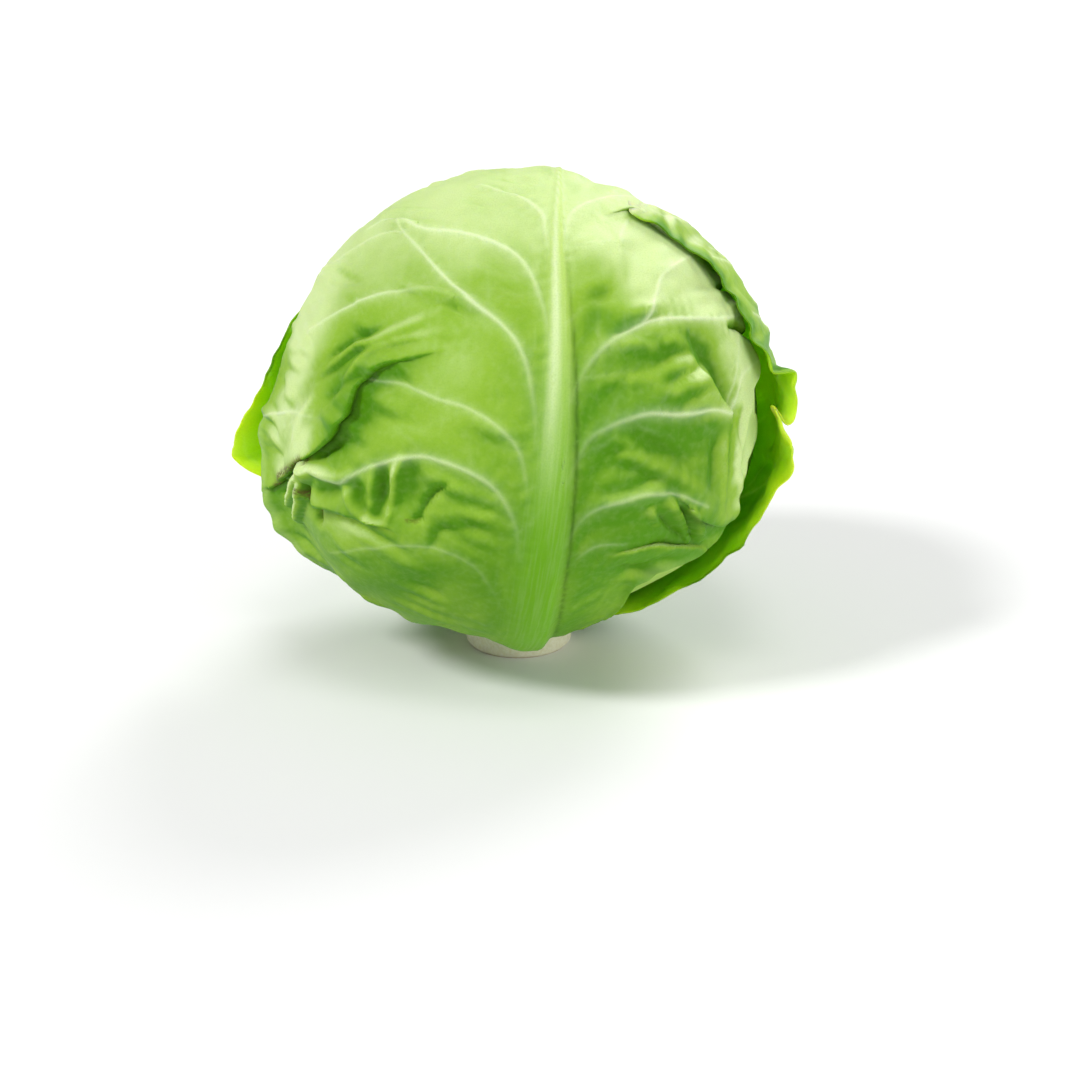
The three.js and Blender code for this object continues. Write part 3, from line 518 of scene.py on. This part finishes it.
class Leaf:
    """Where one leaf lies on the head, how far it reaches, and what is drawn on it."""

    def __init__(self, name, azimuth, elevation, layer, outline, seed, wanted, roll=0, curl=None,
                 settle=None, frill=None, bend=None, veins=None, pleats=(), ridges=(), bloom_and_light=(), scars=()):
        self.name, self.layer, self.seed, self.wanted, self.bloom_and_light = name, layer, seed, wanted, bloom_and_light
        self.middle = direction(azimuth, elevation)
        level = direction(azimuth + 90, 0)
        rise = np.cross(self.middle, level)
        r = math.radians(roll)
        self.right = level * math.cos(r) - rise * math.sin(r)
        self.tipward = rise * math.cos(r) + level * math.sin(r)
        self.outline = around_leaf(outline)
        curl = curl or [(0, 6, 8), (180, 0, 6)]
        self.curl_angle, self.curl_width = around_leaf(curl, 1), around_leaf(curl, 2)
        self.settle = around_leaf(settle or [(0, 0)])
        self.frill = frill and [around_leaf(frill, column) for column in (1, 2, 3)]
        self.bend = bend or (lambda y: 0 * y)
        self.wrapper, self.hidden = layer < FRONT_LAYER, layer > FRONT_LAYER
        self.veins = [(s, Path(p)) for s, p in (veins or regular_veins(self.outline))]
        self.twigs = [] if self.hidden else twigs(self.veins, seed)
        self.pleats = [(*rest, Path(p)) for *rest, p in pleats]
        self.ridges = [(*rest, Path(p)) for *rest, p in ridges]
        self.scars = [(*rest, Path(p)) for *rest, p in scars]
        self.margins = None

    def towards(self, x, y):
        """Unit vectors from the head's middle to flat places of the leaf."""
        angle, bearing = np.hypot(x, y) / HEAD_RADIUS, np.arctan2(x, y)
        across = np.sin(bearing)[:, None] * self.right + np.cos(bearing)[:, None] * self.tipward
        return np.cos(angle)[:, None] * self.middle + np.sin(angle)[:, None] * across

    def body_radius(self, d):
        return head_radius(d) + LAYER_OFFSETS[self.layer] * layer_scale(d)

    def margin(self, bearing):
        """How far the blade reaches, in millimetres. It ends at the stem where the stem is in the way."""
        if self.margins is None:
            bearings, reaches = np.arange(0, 360, 0.5), np.arange(70, 125, 0.25)
            b, r = np.meshgrid(np.radians(bearings), np.radians(reaches) * HEAD_RADIUS, indexing="ij")
            d = self.towards((r * np.sin(b)).ravel(), (r * np.cos(b)).ravel())
            radius = self.body_radius(d)
            wanted = stem_radius(CENTRE_HEIGHT + radius * d[:, 2]) + STEM_GAP
            inside = (radius * np.hypot(d[:, 0], d[:, 1]) < wanted) & (d[:, 2] < 0)
            inside = inside.reshape(b.shape)
            stem = np.where(inside.any(1), reaches[inside.argmax(1)], 180)
            self.margins = HEAD_RADIUS * np.radians(np.minimum(self.outline(bearings), stem))
        return np.interp(bearing, np.arange(0, 360, 0.5), self.margins, period=360)

    def to_margin(self, x, y):
        return self.margin(bearing_of(x, y)) - np.hypot(x, y)

    def wanted_edge(self, x, y):
        """How long a triangle's edge may be: shorter on veins, folds and the margin."""
        to_margin = self.to_margin(x, y)
        size = np.where(to_margin < RIM_ZONE, 0.75 * self.wanted, self.wanted)
        to_rib = np.abs(np.abs(x - self.bend(y)) - rib_half_width(y))
        size = np.where(to_rib < 4, 0.7 * self.wanted, size)
        if self.frill:
            frilled = (to_margin < FRILL_WIDTH) & (np.abs(bearing_of(x, y) - FRILL_BEARING) < FRILL_SPREAD)
            size = np.where(frilled, 0.75, size)
        vein_size = (3.5, 1.5) if self.hidden else (1.8, 0.7)
        sizes = [(self.veins, *vein_size), (self.ridges, 3.6, 1.25), (self.pleats, 5.5, 0.8)]
        for forms, beside, edge in sizes:
            for *_, path in forms:
                close = path.near(x, y, beside)[0]
                np.minimum.at(size, close, edge)
        return TOO_LONG * size

    def covered(self, d):
        """How far a direction lies under the leaves outside this one, from 0 in the open to 1."""
        most = np.zeros(len(d))
        for other in leaves:
            if other.layer < self.layer:
                reach = np.degrees(np.arccos(np.clip(d @ other.middle, -1, 1)))
                limit = other.outline(bearing_of(d @ other.right, d @ other.tipward))
                most = np.maximum(most, 1 - ramp(reach - limit, -4, 1))
        return most

    def draw(self, x, y):
        """The leaf's drawing at flat places: how far the sheet stands out, how far it is pushed sideways,
        the extra thickness of its ribs, and the masks that its material reads."""
        open_air = 1 - COVERED_FLATTENING * self.covered(self.towards(x, y))
        to_margin = self.to_margin(x, y)
        curl_angle = self.curl_angle(bearing_of(x, y))
        free = ramp(curl_angle, 20, 40)
        across = x - self.bend(y)
        half = rib_half_width(y)
        t = across / half
        rib = np.where(t < 0, bell(t / 0.95), 1 - ramp(t, 0.5, 1.12))

        # The side veins, with small waves beside them, and the twigs between them.
        to_vein = np.maximum(0, np.abs(across) - half)
        vein_height, pucker = np.zeros_like(x), np.zeros_like(x)
        vein_mask = 0.9 * bell((t + 0.35) / 0.4) * ramp(y, -30, 40)
        for strength, path in self.veins:
            i, d, along, *_ = path.near(x, y, 40)
            np.minimum.at(to_vein, i, d)
            width = VEIN_WIDTH * (1.3 - 0.5 * along) * (0.6 + 0.4 * strength)
            if self.hidden:
                width, strength = HIDDEN_VEIN_WIDTH * width, 0.6 * strength
            line = strength * (0.7 * bell(d / width) + 0.3 * bell(d / width / 3))
            np.maximum.at(vein_height, i, line * (1 - 0.5 * along))
            seen = (0.1 + 0.9 * ramp(along, 0, 0.5)) * (1 - 0.3 * ramp(along, 0.6, 1))
            np.maximum.at(vein_mask, i, line * seen)
            wave = np.sin(along * path.length * 1.1 + 2 * np.sin(along * path.length * 0.23))
            pucker[i] += strength * wave * bell((d - 5) / 4)
        for strength, path in self.twigs:
            i, d, along, *_ = path.near(x, y, 3)
            line = strength * bell(d / TWIG_WIDTH) * (1 - 0.7 * along)
            np.maximum.at(vein_mask, i, line)

        # The blade sinks between its veins, and swells and wrinkles there.
        sag = SAG * np.ones_like(x)
        if self.layer == FRONT_LAYER:
            sag *= np.where(across < 0, 0.65 - 0.4 * bell(across / 28), 1 - 0.75 * bell(across / 6))
        height = -sag * open_air * (1 - bell(to_vein / SAG_WIDTH))
        if self.hidden:
            height -= HIDDEN_DROP * (len(LAYER_OFFSETS) - self.layer)
        else:
            height += PUCKER * open_air * pucker
            patches = ramp(ripples(x, y, self.seed + 300, 25, 60), -0.6, 1.2)
            patches *= ramp(np.abs(across) - half, 0, 14)
            height += open_air * (
                0.3 * ripples(x, y, self.seed, 18, 45) * ramp(to_vein, 0, 8)
                + 0.42 * patches * ripples(np.abs(x), y, self.seed + 400, 7, 16, (95, 125))
                + 0.04 * ripples(x, y, self.seed + 100, 3, 7)
            )
            wavy = (0.1 + 0.25 * free) * ramp(-to_margin, -RIM_ZONE, 0)
            height += wavy * ripples(x, y, self.seed + 200, 8, 20)

        # Waxy bloom with painted light, paler towards the tip where the light falls from above, and painted
        # shade.
        bloom_and_light = 0.85 * ramp(y, 0, 95)
        # A painted shadow beside the midrib's right edge.
        shade = 0.6 * bell((across - 1.12 * half) / 0.6) * (1 - ramp(y, 10, 70))
        if self.wrapper:
            # A wrapper's rolled margin loses its bloom and gets a dark edge: painted shade where it turns
            # under.
            rolled = (1 - free) * ramp(curl_angle, 5, 10)
            bloom_and_light -= 0.1 + 0.8 * rolled * ramp(-to_margin, -15, -2)
            shade += 0.7 * rolled * ramp(-to_margin, -2, -0.5)

        # Folds: ridges and grooves, then pleats, whose crests overhang their low side. Crests get painted
        # light, and grooves and the low side under a pleat get painted shade.
        for heights, *widths, path in self.ridges:
            i, d, along, side, _ = path.near(x, y, 3 * max(widths))
            width = np.where(side > 0, widths[0], widths[-1])
            rise = FOLD * stops(heights, along)
            form = np.exp(-((d / width) ** np.where((rise < 0) & (width < 2), 1.25, 2)))
            height[i] += rise * form
            bloom_and_light[i] += 0.2 * rise * form
            np.maximum.at(shade, i, -0.12 * rise * form)
        push = np.zeros((len(x), 2))
        for heights, overhang, spread, fall, path in self.pleats:
            i, d, along, side, right = path.near(x, y, 2.5 * spread)
            s = side * d
            rise = stops(heights, along)
            crest = 0.45 * fall
            form = np.where(s > crest, bell(np.maximum(0, s - crest) / spread),
                            1 - ramp(-s, -crest, fall))
            height[i] += rise * form
            over = bell((s - crest) / np.where(s > crest, 2.4 * fall, 0.8 * fall))
            under = bell((s + fall) / np.where(s > -fall, 0.6 * fall, 1.6 * fall))
            push[i] += (rise * overhang * (0.4 * under - over))[:, None] * right
            # Painted light on the crest and painted shade under the overhang.
            bloom_and_light[i] += 0.05 * rise * (over - 4 * bell((s + 3) / 4))
            dark = bell((s + fall) / np.where(s > -fall, 0.9, 1.3))
            np.maximum.at(shade, i, 0.35 * rise * dark)

        levelled = -LEVEL_FROM - LEVEL_WITHIN * np.tanh((-LEVEL_FROM - height) / LEVEL_WITHIN)
        height = np.where(height < -LEVEL_FROM, levelled, height)
        # Patches of bloom and of painted light and shade.
        for share, cx, cy, width, length in self.bloom_and_light:
            bloom_and_light += share * np.exp(-(((x - cx) / width) ** 2) - ((y - cy) / length) ** 2)
        scar = np.zeros_like(x)
        for strength, width, path in self.scars:
            i, d, *_ = path.near(x, y, 3 * width)
            np.maximum.at(scar, i, strength * bell(d / width))
        extra = np.maximum(rib_height(y) * rib, VEIN_HEIGHT * vein_height * open_air)
        return dict(height=height, push=push, extra=extra, vein=vein_mask, rib=rib, bloom_and_light=bloom_and_light,
                    shade=shade, scar=scar, to_margin=to_margin, free=free)

    def wrap(self, x, y, drawing):
        """Where flat places of the leaf lie on the head, in millimetres."""
        distance, bearing = np.hypot(x, y), bearing_of(x, y)
        margin = self.margin(bearing)
        width = self.curl_width(bearing)
        angle = np.maximum(1e-3, np.radians(self.curl_angle(bearing)))
        into = np.maximum(0, distance - (margin - width))
        flat = distance - into + width / angle * np.sin(angle * into / width)
        lift = width / angle * (1 - np.cos(angle * into / width))
        sink = self.settle(bearing) * ramp(distance, margin - SETTLE_FROM, margin - SETTLE_TO)
        scale = flat / np.maximum(distance, 1e-6)
        moved = np.column_stack([x * scale, y * scale]) + drawing["push"]
        if self.frill:
            share = ramp(distance, margin - FRILL_WIDTH, margin)
            out, along, reach = (share * amount(bearing) for amount in self.frill)
            lift = lift + out
            outwards = np.column_stack([x, y]) / np.maximum(distance, 1e-6)[:, None]
            moved += reach[:, None] * outwards + along[:, None] * outwards[:, ::-1] * [1, -1]
        d = self.towards(*moved.T)
        return d * (self.body_radius(d) + drawing["height"] + sink + lift)[:, None] + [0, 0, CENTRE_HEIGHT]


leaves = [Leaf(name, **spec) for name, spec in LEAVES.items()]


# ---- from a drawing to a mesh
def ring_mesh(leaf, spacing):
    """Flat vertices of a leaf, ring by ring out to its margin, and triangles that face out."""
    count = round(TYPICAL_MARGIN / spacing)
    rings = [np.zeros((1, 2))]
    for k in range(1, count + 1):
        girth = 2 * math.pi * GIRTH_RADIUS * math.sin(GIRTH_ANGLE * k / count)
        size = max(FEWEST_AROUND, round(girth / spacing))
        bearing = np.arange(size) * 360 / size
        distance = leaf.margin(bearing) * k / count
        rings.append(np.column_stack([distance * np.sin(np.radians(bearing)),
                                      distance * np.cos(np.radians(bearing))]))
    faces = []
    start = 0
    for inner, outer in zip(rings, rings[1:]):
        m, n, second = len(inner), len(outer), start + len(inner)
        i = j = 0
        while i < m or j < n:
            outwards = m == 1 or i >= m or (j < n and (j + 1) / n <= (i + 1) / m)
            if outwards and j >= n:
                break
            if outwards:
                faces.append((start + i % m, second + (j + 1) % n, second + j % n))
                j += 1
            else:
                faces.append((start + i % m, start + (i + 1) % m, second + j % n))
                i += 1
        start = second
    return np.vstack(rings), np.array(faces)


def refine(leaf, flat, faces):
    """Splits the edges that are longer than they should be there, in at most so many rounds."""
    for _ in range(SPLITTING_ROUNDS):
        edges = np.sort(edges_of(faces), axis=1)
        unique, back = np.unique(edges, axis=0, return_inverse=True)
        ends = flat[unique]
        middle = ends.mean(1)
        split = np.hypot(*(ends[:, 0] - ends[:, 1]).T) > leaf.wanted_edge(*middle.T)
        if not split.any():
            break
        number = np.full(len(unique), -1)
        number[split] = len(flat) + np.arange(split.sum())
        flat = np.vstack([flat, middle[split]])
        faces = split_faces(faces, number[back.reshape(-1, 3)])
    return flat, faces


def split_faces(faces, marks):
    """Cuts each triangle along the middles of its marked edges 01, 12 and 20. An unmarked edge is -1."""
    count = (marks >= 0).sum(1)
    made = [faces[count == 0]]
    a, b, c = faces[count == 3].T
    ab, bc, ca = marks[count == 3].T
    made += triangles((a, ab, ca), (ab, b, bc), (ca, bc, c), (ab, bc, ca))
    for turn in range(3):
        f, m = np.roll(faces, -turn, axis=1), np.roll(marks, -turn, axis=1)
        one = (count == 1) & (m[:, 0] >= 0)
        a, b, c = f[one].T
        ab = m[one, 0]
        made += triangles((a, ab, c), (ab, b, c))
        two = (count == 2) & (m[:, 2] < 0)
        a, b, c = f[two].T
        ab, bc = m[two, 0], m[two, 1]
        made += triangles((ab, b, bc), (a, ab, bc), (a, bc, c))
    return np.vstack(made)


def edges_of(faces):
    return faces[:, [0, 1, 1, 2, 2, 0]].reshape(-1, 2)


def margin_edges(faces):
    """The edges that only one triangle has, in the way that it goes round."""
    edges = edges_of(faces)
    code = edges[:, 0] * (faces.max() + 1) + edges[:, 1]
    other = edges[:, 1] * (faces.max() + 1) + edges[:, 0]
    return edges[~np.isin(code, other)]


def triangles(*corners):
    """Faces from the vertex numbers of their three corners."""
    return [np.column_stack(c) for c in corners]


def vertex_normals(points, faces):
    a, b, c = (points[faces[:, k]] for k in range(3))
    normal = np.cross(b - a, c - a)
    total = np.zeros_like(points)
    for k in range(3):
        np.add.at(total, faces[:, k], normal)
    return total / np.linalg.norm(total, axis=1)[:, None]


def new_object(name, points, faces, masks, material, body="root"):
    """A closed mesh from points in millimetres. A mask is a number or a vector at each vertex."""
    mesh = bpy.data.meshes.new(name)
    mesh.from_pydata((points * MM).tolist(), [], faces.tolist())
    for mask, values in masks.items():
        flat = np.asarray(values, np.float32)
        kind = "FLOAT_VECTOR" if flat.ndim == 2 else "FLOAT"
        layer = mesh.attributes.new(mask, kind, "POINT")
        layer.data.foreach_set("vector" if flat.ndim == 2 else "value", flat.ravel())
    mesh.shade_smooth()
    mesh.materials.append(material)
    piece = bpy.data.objects.new(name, mesh)
    bpy.context.scene.collection.objects.link(piece)
    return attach(piece, body)


def leaf_object(leaf, material):
    """The leaf as one closed sheet: its outer and inner faces, and the strip round its margin."""
    flat, faces = ring_mesh(leaf, HIDDEN_SPACING if leaf.hidden else SPACING)
    flat, faces = refine(leaf, flat, faces)
    # The outermost vertices are set exactly on the outline.
    rim = margin_edges(faces)
    edge = np.unique(rim)
    flat[edge] *= (leaf.margin(bearing_of(*flat[edge].T)) / np.hypot(*flat[edge].T))[:, None]
    x, y = flat.T
    drawing = leaf.draw(x, y)
    sheet = leaf.wrap(x, y, drawing)
    smooth_sheet = leaf.wrap(x, y, dict(drawing, height=0 * x, push=0 * drawing["push"]))
    normals = vertex_normals(sheet, faces)
    # How far the relief turns the sheet towards the light: the material paints it paler there, as painted
    # light.
    turned = (normals - vertex_normals(smooth_sheet, faces)) @ SUNNY
    rim_share = ramp(-drawing["to_margin"], -RIM_ZONE, 0)
    thick = BLADE + (RIM - BLADE) * rim_share
    extra = drawing["extra"] * (1 - RIM_FLATTENING * rim_share * (y > RIB_FOOT))
    outer = sheet + normals * (thick / 2 + extra)[:, None]
    inner = sheet - normals * (thick / 2)[:, None]
    points = np.vstack([outer, inner])
    # No point reaches into the stem.
    wanted = stem_radius(points[:, 2]) + STEM_GAP
    distance = np.hypot(points[:, 0], points[:, 1])
    short = (points[:, 2] < CENTRE_HEIGHT) & (distance < wanted)
    points[short, :2] *= (wanted / distance)[short, None]
    n = len(flat)
    p, q = rim.T
    strip = triangles((q, p, q + n), (p, p + n, q + n))
    closed = np.vstack([faces, faces[:, [0, 2, 1]] + n, *strip])
    names = ("vein", "rib", "bloom_and_light", "shade", "scar", "to_margin", "free")
    masks = {name: np.tile(drawing[name], 2) for name in names}
    masks["sunny"] = np.tile(turned, 2)
    # The inside takes the inner colour: part is the inside's own, and the extra low down and at free
    # margins is painted light passing through the leaf.
    inner_colour_and_light = 0.2 + 0.4 * (1 - ramp(y, 20, 60))
    masks["inside"] = np.concatenate([0 * x, inner_colour_and_light + (1 - inner_colour_and_light) * drawing["free"]])
    masks["leaf_place"] = np.tile(np.column_stack([x, y, 0 * x]), (2, 1))
    piece = new_object(leaf.name + "_blade", points, closed, masks, material)
    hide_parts(leaf.name)
    return piece


def stem_object(material):
    """The stump, with a slightly dished cut, and the core above it: rings of (radius, height)."""
    around = np.radians(np.arange(0, 360, 3.75))
    rows = [(4, 0.9), (8, 0.7), (12, 0.4), (15, 0.1)]
    rows += [(float(stem_radius(z)), z) for z in (0, 0.7, 1.5, 4, 7, 10, 13, 20, 27, 38, 60, 82, 88)]
    rows += [(2, STEM_TOP)]
    points = [np.array([[0, 0, 1.0]])]
    for radius, z in rows:
        uneven = 1 + (z > 1) * (0.01 * np.sin(3 * around + 1) + 0.006 * np.sin(7 * around + 0.2 * z))
        ring = radius * uneven[:, None] * np.column_stack([np.cos(around), np.sin(around)])
        points.append(np.column_stack([ring, np.full(len(around), z)]))
    points.append(np.array([[0, 0, STEM_TOP]]))
    n = len(around)
    a = 1 + np.arange(n)
    b = 1 + (np.arange(n) + 1) % n
    faces = triangles((0 * a, b, a))
    for k in range(len(rows) - 1):
        low, high = k * n, (k + 1) * n
        faces += triangles((a + low, b + low, a + high), (b + low, b + high, a + high))
    last = (len(rows) - 1) * n
    faces += triangles((0 * a + 1 + len(rows) * n, a + last, b + last))
    piece = new_object("stem_turned", np.vstack(points), np.vstack(faces), {}, material)
    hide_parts("stem")


# ---- materials
# The blade's greens: the material mixes them by bloom and by painted light and shade.
DEEP, MIDDLE, PALE = (0.08, 0.26, 0.001), (0.27, 0.47, 0.038), (0.62, 0.78, 0.33)
INNER_MIDDLE = (0.50, 0.70, 0.14)
VEIN = (0.78, 0.89, 0.54)
RIB_FOOT_GREEN, RIB_TIP_GREEN = (0.15, 0.40, 0.008), (0.50, 0.69, 0.16)
# Painted shade, for creases, grooves, the low side of pleats, the midrib's right edge and rolled margins.
SHADE = (0.03, 0.09, 0.001)
DRIED = (0.10, 0.085, 0.012)


class Nodes:
    """Builds a material's node tree. Numbers and sockets both go in as inputs."""

    def __init__(self, name):
        self.material = bpy.data.materials.new(name)
        self.material.use_nodes = True
        self.tree = self.material.node_tree
        self.shader = self.tree.nodes["Principled BSDF"]

    def set(self, socket, value):
        if isinstance(value, bpy.types.NodeSocket):
            self.tree.links.new(value, socket)
        elif value is not None:
            socket.default_value = value

    def add(self, kind, inputs=(), output=0, **settings):
        node = self.tree.nodes.new("ShaderNode" + kind)
        for key, value in settings.items():
            setattr(node, key, value)
        for key, value in dict(inputs).items():
            self.set(node.inputs[key], value)
        return node.outputs[output]

    def mask(self, name, output=2):
        """A mask of the mesh: output 2 is its number, and 1 its vector."""
        return self.add("Attribute", output=output, attribute_name=name)

    def math(self, operation, a, b=None, clamp=False):
        return self.add("Math", {0: a, 1: b}, operation=operation, use_clamp=clamp)

    def step(self, value, low, high, to_low=0.0, to_high=1.0):
        return self.add("MapRange", {"Value": value, "From Min": low, "From Max": high,
                                     "To Min": to_low, "To Max": to_high}, interpolation_type="SMOOTHSTEP")

    def mix(self, share, a, b):
        """Colours mixed by a share. A colour is (red, green, blue) or a socket."""
        colour = lambda c: c if isinstance(c, bpy.types.NodeSocket) else (*c, 1)
        return self.add("Mix", {0: share, 6: colour(a), 7: colour(b)}, output=2, data_type="RGBA")

    def times(self, a, b, clamp=False):
        return self.math("MULTIPLY", a, b, clamp)

    def noise(self, place, scale, detail=3.0):
        return self.add("TexNoise", {"Vector": place, "Scale": scale, "Detail": detail})

    def finish(self, inputs):
        """Sets the shader's own inputs, and gives the material back."""
        for key, value in inputs.items():
            self.set(self.shader.inputs[key], value)
        return self.material


def leaf_material(name, loose, inner, edge, glow, deep=DEEP, middle=MIDDLE):
    """deep, middle and PALE are the blade under more and more waxy bloom and painted light. loose is the
    colour of a free margin, partly its own and partly painted light shining through it, and inner that of
    the leaf's inside, likewise partly painted light. edge is how far loose takes over, and glow how much
    light passes through."""
    n = Nodes(name)
    place = n.mask("leaf_place", output=1)
    cloud = n.noise(place, 0.035, 4.0)
    # Painted light: slopes turned towards the light are paler, together with a random cloudy tone.
    uneven = n.math("ADD", n.mask("sunny"), n.times(n.math("SUBTRACT", cloud, 0.5), 0.5))
    bloom_and_light = n.math("ADD", n.mask("bloom_and_light"), uneven)
    # From deep to pale green as bloom and painted light grow.
    colour = n.mix(n.step(bloom_and_light, -0.25, 0.45), deep, middle)
    colour = n.mix(n.step(bloom_and_light, 0.35, 1.0), colour, PALE)
    fine = n.noise(place, 0.4, 5.0)
    colour = n.mix(n.step(fine, 0.4, 0.8, 0.0, 0.08), colour, PALE)
    low = n.step(n.add("SeparateXYZ", {0: place}, output=1), -50.0, 75.0)
    rib = n.mask("rib")
    colour = n.mix(n.times(rib, 0.85), colour, n.mix(low, RIB_FOOT_GREEN, RIB_TIP_GREEN))
    grain = n.noise(n.add("VectorMath", {0: place, 1: (1.0, 0.05, 1.0)}, operation="MULTIPLY"), 0.8, 3.0)
    colour = n.mix(n.times(rib, n.step(grain, 0.4, 0.7, 0.0, 0.08)), colour, VEIN)
    colour = n.mix(n.times(n.mask("vein"), 0.8, clamp=True), colour, VEIN)
    margin = n.step(n.mask("to_margin"), 1.0, 5.0, edge, 0.0)
    # A free margin's colour, partly painted light shining through it.
    colour = n.mix(n.times(margin, n.mask("free")), colour, loose)
    # The inner face's colour, partly painted light passing through the leaf.
    colour = n.mix(n.times(n.mask("inside"), 0.85), colour, inner)
    speckle = n.noise(place, 1.6, 2.0)
    colour = n.mix(n.step(speckle, 0.35, 0.75, 0.0, 0.12), colour, deep)
    # Painted shade.
    colour = n.mix(n.times(n.mask("shade"), 0.9, clamp=True), colour, SHADE)
    dried = n.times(n.mask("scar"), n.step(n.noise(place, 1.1, 3.0), 0.32, 0.52))
    colour = n.mix(n.times(dried, 0.95, clamp=True), colour, DRIED)
    bumps = n.math("ADD", fine, n.times(n.noise(place, 0.9, 4.0), 0.6))
    return n.finish({
        "Base Color": colour,
        "Roughness": n.step(cloud, 0.3, 0.7, 0.42, 0.56),
        "Specular IOR Level": 0.1,
        "Subsurface Weight": glow,
        "Subsurface Radius": (0.6 + 0.15 * glow, 1.0, 0.05),
        "Subsurface Scale": (1 + 2 * glow) * MM,
        "Normal": n.add("Bump", {"Height": bumps, "Distance": 0.12 * MM, "Strength": 1.0}),
    })


def stem_material():
    """Cream flesh with fine fibres, browner at the cut, with the green ring of its veins."""
    n = Nodes("stem_flesh")
    place = n.add("TexCoord", output=3)
    level = n.add("VectorMath", {0: place, 1: (1, 1, 0)}, operation="MULTIPLY")
    radius = n.add("VectorMath", {0: level}, output=1, operation="LENGTH")
    ring = n.step(n.math("ABSOLUTE", n.math("SUBTRACT", radius, 0.0135)), 0.0, 0.0018, 1.0, 0.0)
    fibres = n.noise(place, 900.0, 3.0)
    colour = n.mix(n.step(fibres, 0.3, 0.7), (0.78, 0.74, 0.52), (0.86, 0.84, 0.66))
    colour = n.mix(n.times(ring, 0.45), colour, (0.52, 0.50, 0.22))
    cut = n.step(n.add("SeparateXYZ", {0: place}, output=2), 0.0, 0.0012, 1.0, 0.0)
    stained = n.times(cut, n.step(n.noise(place, 120.0), 0.35, 0.7, 0.15, 0.6))
    return n.finish({
        "Base Color": n.mix(stained, colour, (0.50, 0.36, 0.17)),
        "Roughness": 0.62,
        "Subsurface Weight": 0.2,
        "Subsurface Radius": (1.0, 0.9, 0.5),
        "Subsurface Scale": 2 * MM,
        "Normal": n.add("Bump", {"Height": fibres, "Distance": 0.3 * MM}),
    })


def heart_material():
    n = Nodes("heart_leaves")
    folds = n.noise(n.add("TexCoord", output=3), 60.0, 4.0)
    return n.finish({
        "Base Color": n.mix(n.step(folds, 0.35, 0.65), (0.72, 0.78, 0.42), (0.84, 0.86, 0.60)),
        "Roughness": 0.5,
        "Normal": n.add("Bump", {"Height": folds, "Distance": 0.8 * MM}),
    })


def floor_finish():
    n = Nodes("pale_floor")
    return n.finish({
        "Base Color": n.mix(n.noise(None, 3.0), (0.88, 0.88, 0.88), (0.91, 0.91, 0.91)),
        "Roughness": 0.9,
    })


# ---- the pieces
MATERIALS = {
    0: leaf_material("right_wrapper_green", loose=(0.56, 0.74, 0.12), inner=(0.60, 0.84, 0.05), edge=0.7,
                     glow=1.0),
    1: leaf_material("left_wrapper_green", loose=(0.50, 0.70, 0.06), inner=(0.48, 0.78, 0.012), edge=0.9,
                     glow=1.0),
    2: leaf_material("front_leaf_green", loose=(0.55, 0.74, 0.24), inner=(0.36, 0.66, 0.01), edge=0.35,
                     glow=0.25),
}
inner_green = leaf_material("inner_leaf_green", loose=(0.50, 0.72, 0.14), inner=(0.60, 0.72, 0.25),
                            edge=0.5, glow=0.25, deep=MIDDLE, middle=INNER_MIDDLE)
for leaf in leaves:
    blade = leaf_object(leaf, MATERIALS.get(leaf.layer, inner_green))

stem_object(stem_material())
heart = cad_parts["heart"].data
heart.materials.clear()
heart.materials.append(heart_material())

# ---- floor, light and camera
scene = bpy.context.scene
floor_mesh = bpy.data.meshes.new("floor")
corners = [(x * FLOOR_HALF, y * FLOOR_HALF, 0) for x, y in ((-1, -1), (1, -1), (1, 1), (-1, 1))]
floor_mesh.from_pydata(corners, [], [(0, 1, 2, 3)])
floor_mesh.materials.append(floor_finish())
floor = bpy.data.objects.new("floor", floor_mesh)
scene.collection.objects.link(floor)

scene.view_settings.view_transform = "Standard"
world = bpy.data.worlds.new("studio")
world.use_nodes = True
background = world.node_tree.nodes["Background"]
background.inputs["Color"].default_value = (1, 1, 1, 1)
background.inputs["Strength"].default_value = WORLD_STRENGTH
scene.world = world


def soft_sun(name, azimuth, elevation, angle, strength):
    """Even light from that way, in degrees, softer the wider its angle is."""
    light = bpy.data.lights.new(name, "SUN")
    light.energy = strength
    light.angle = math.radians(angle)
    lamp = bpy.data.objects.new(name, light)
    lamp.rotation_euler = Vector(direction(azimuth, elevation)).to_track_quat("Z", "Y").to_euler()
    scene.collection.objects.link(lamp)


soft_sun("key", -60, 44, 14, 1.8)
soft_sun("top", 15, 72, 20, 0.45)
soft_sun("fill", 52, 24, 40, 1.05)
soft_sun("back", 150, 35, 30, 1.6)

camera_data = bpy.data.cameras.new("camera")
camera_data.lens = CAMERA_LENS
camera_data.sensor_width = SENSOR_WIDTH
camera = bpy.data.objects.new("camera", camera_data)
head_middle = Vector((0, 0, CENTRE_HEIGHT * MM))
camera.location = head_middle + Vector(direction(0, CAMERA_ELEVATION)) * CAMERA_DISTANCE
way = Vector(CAMERA_AIM) * MM - camera.location
camera.rotation_euler = way.to_track_quat("-Z", "Y").to_euler()
scene.collection.objects.link(camera)
scene.camera = camera
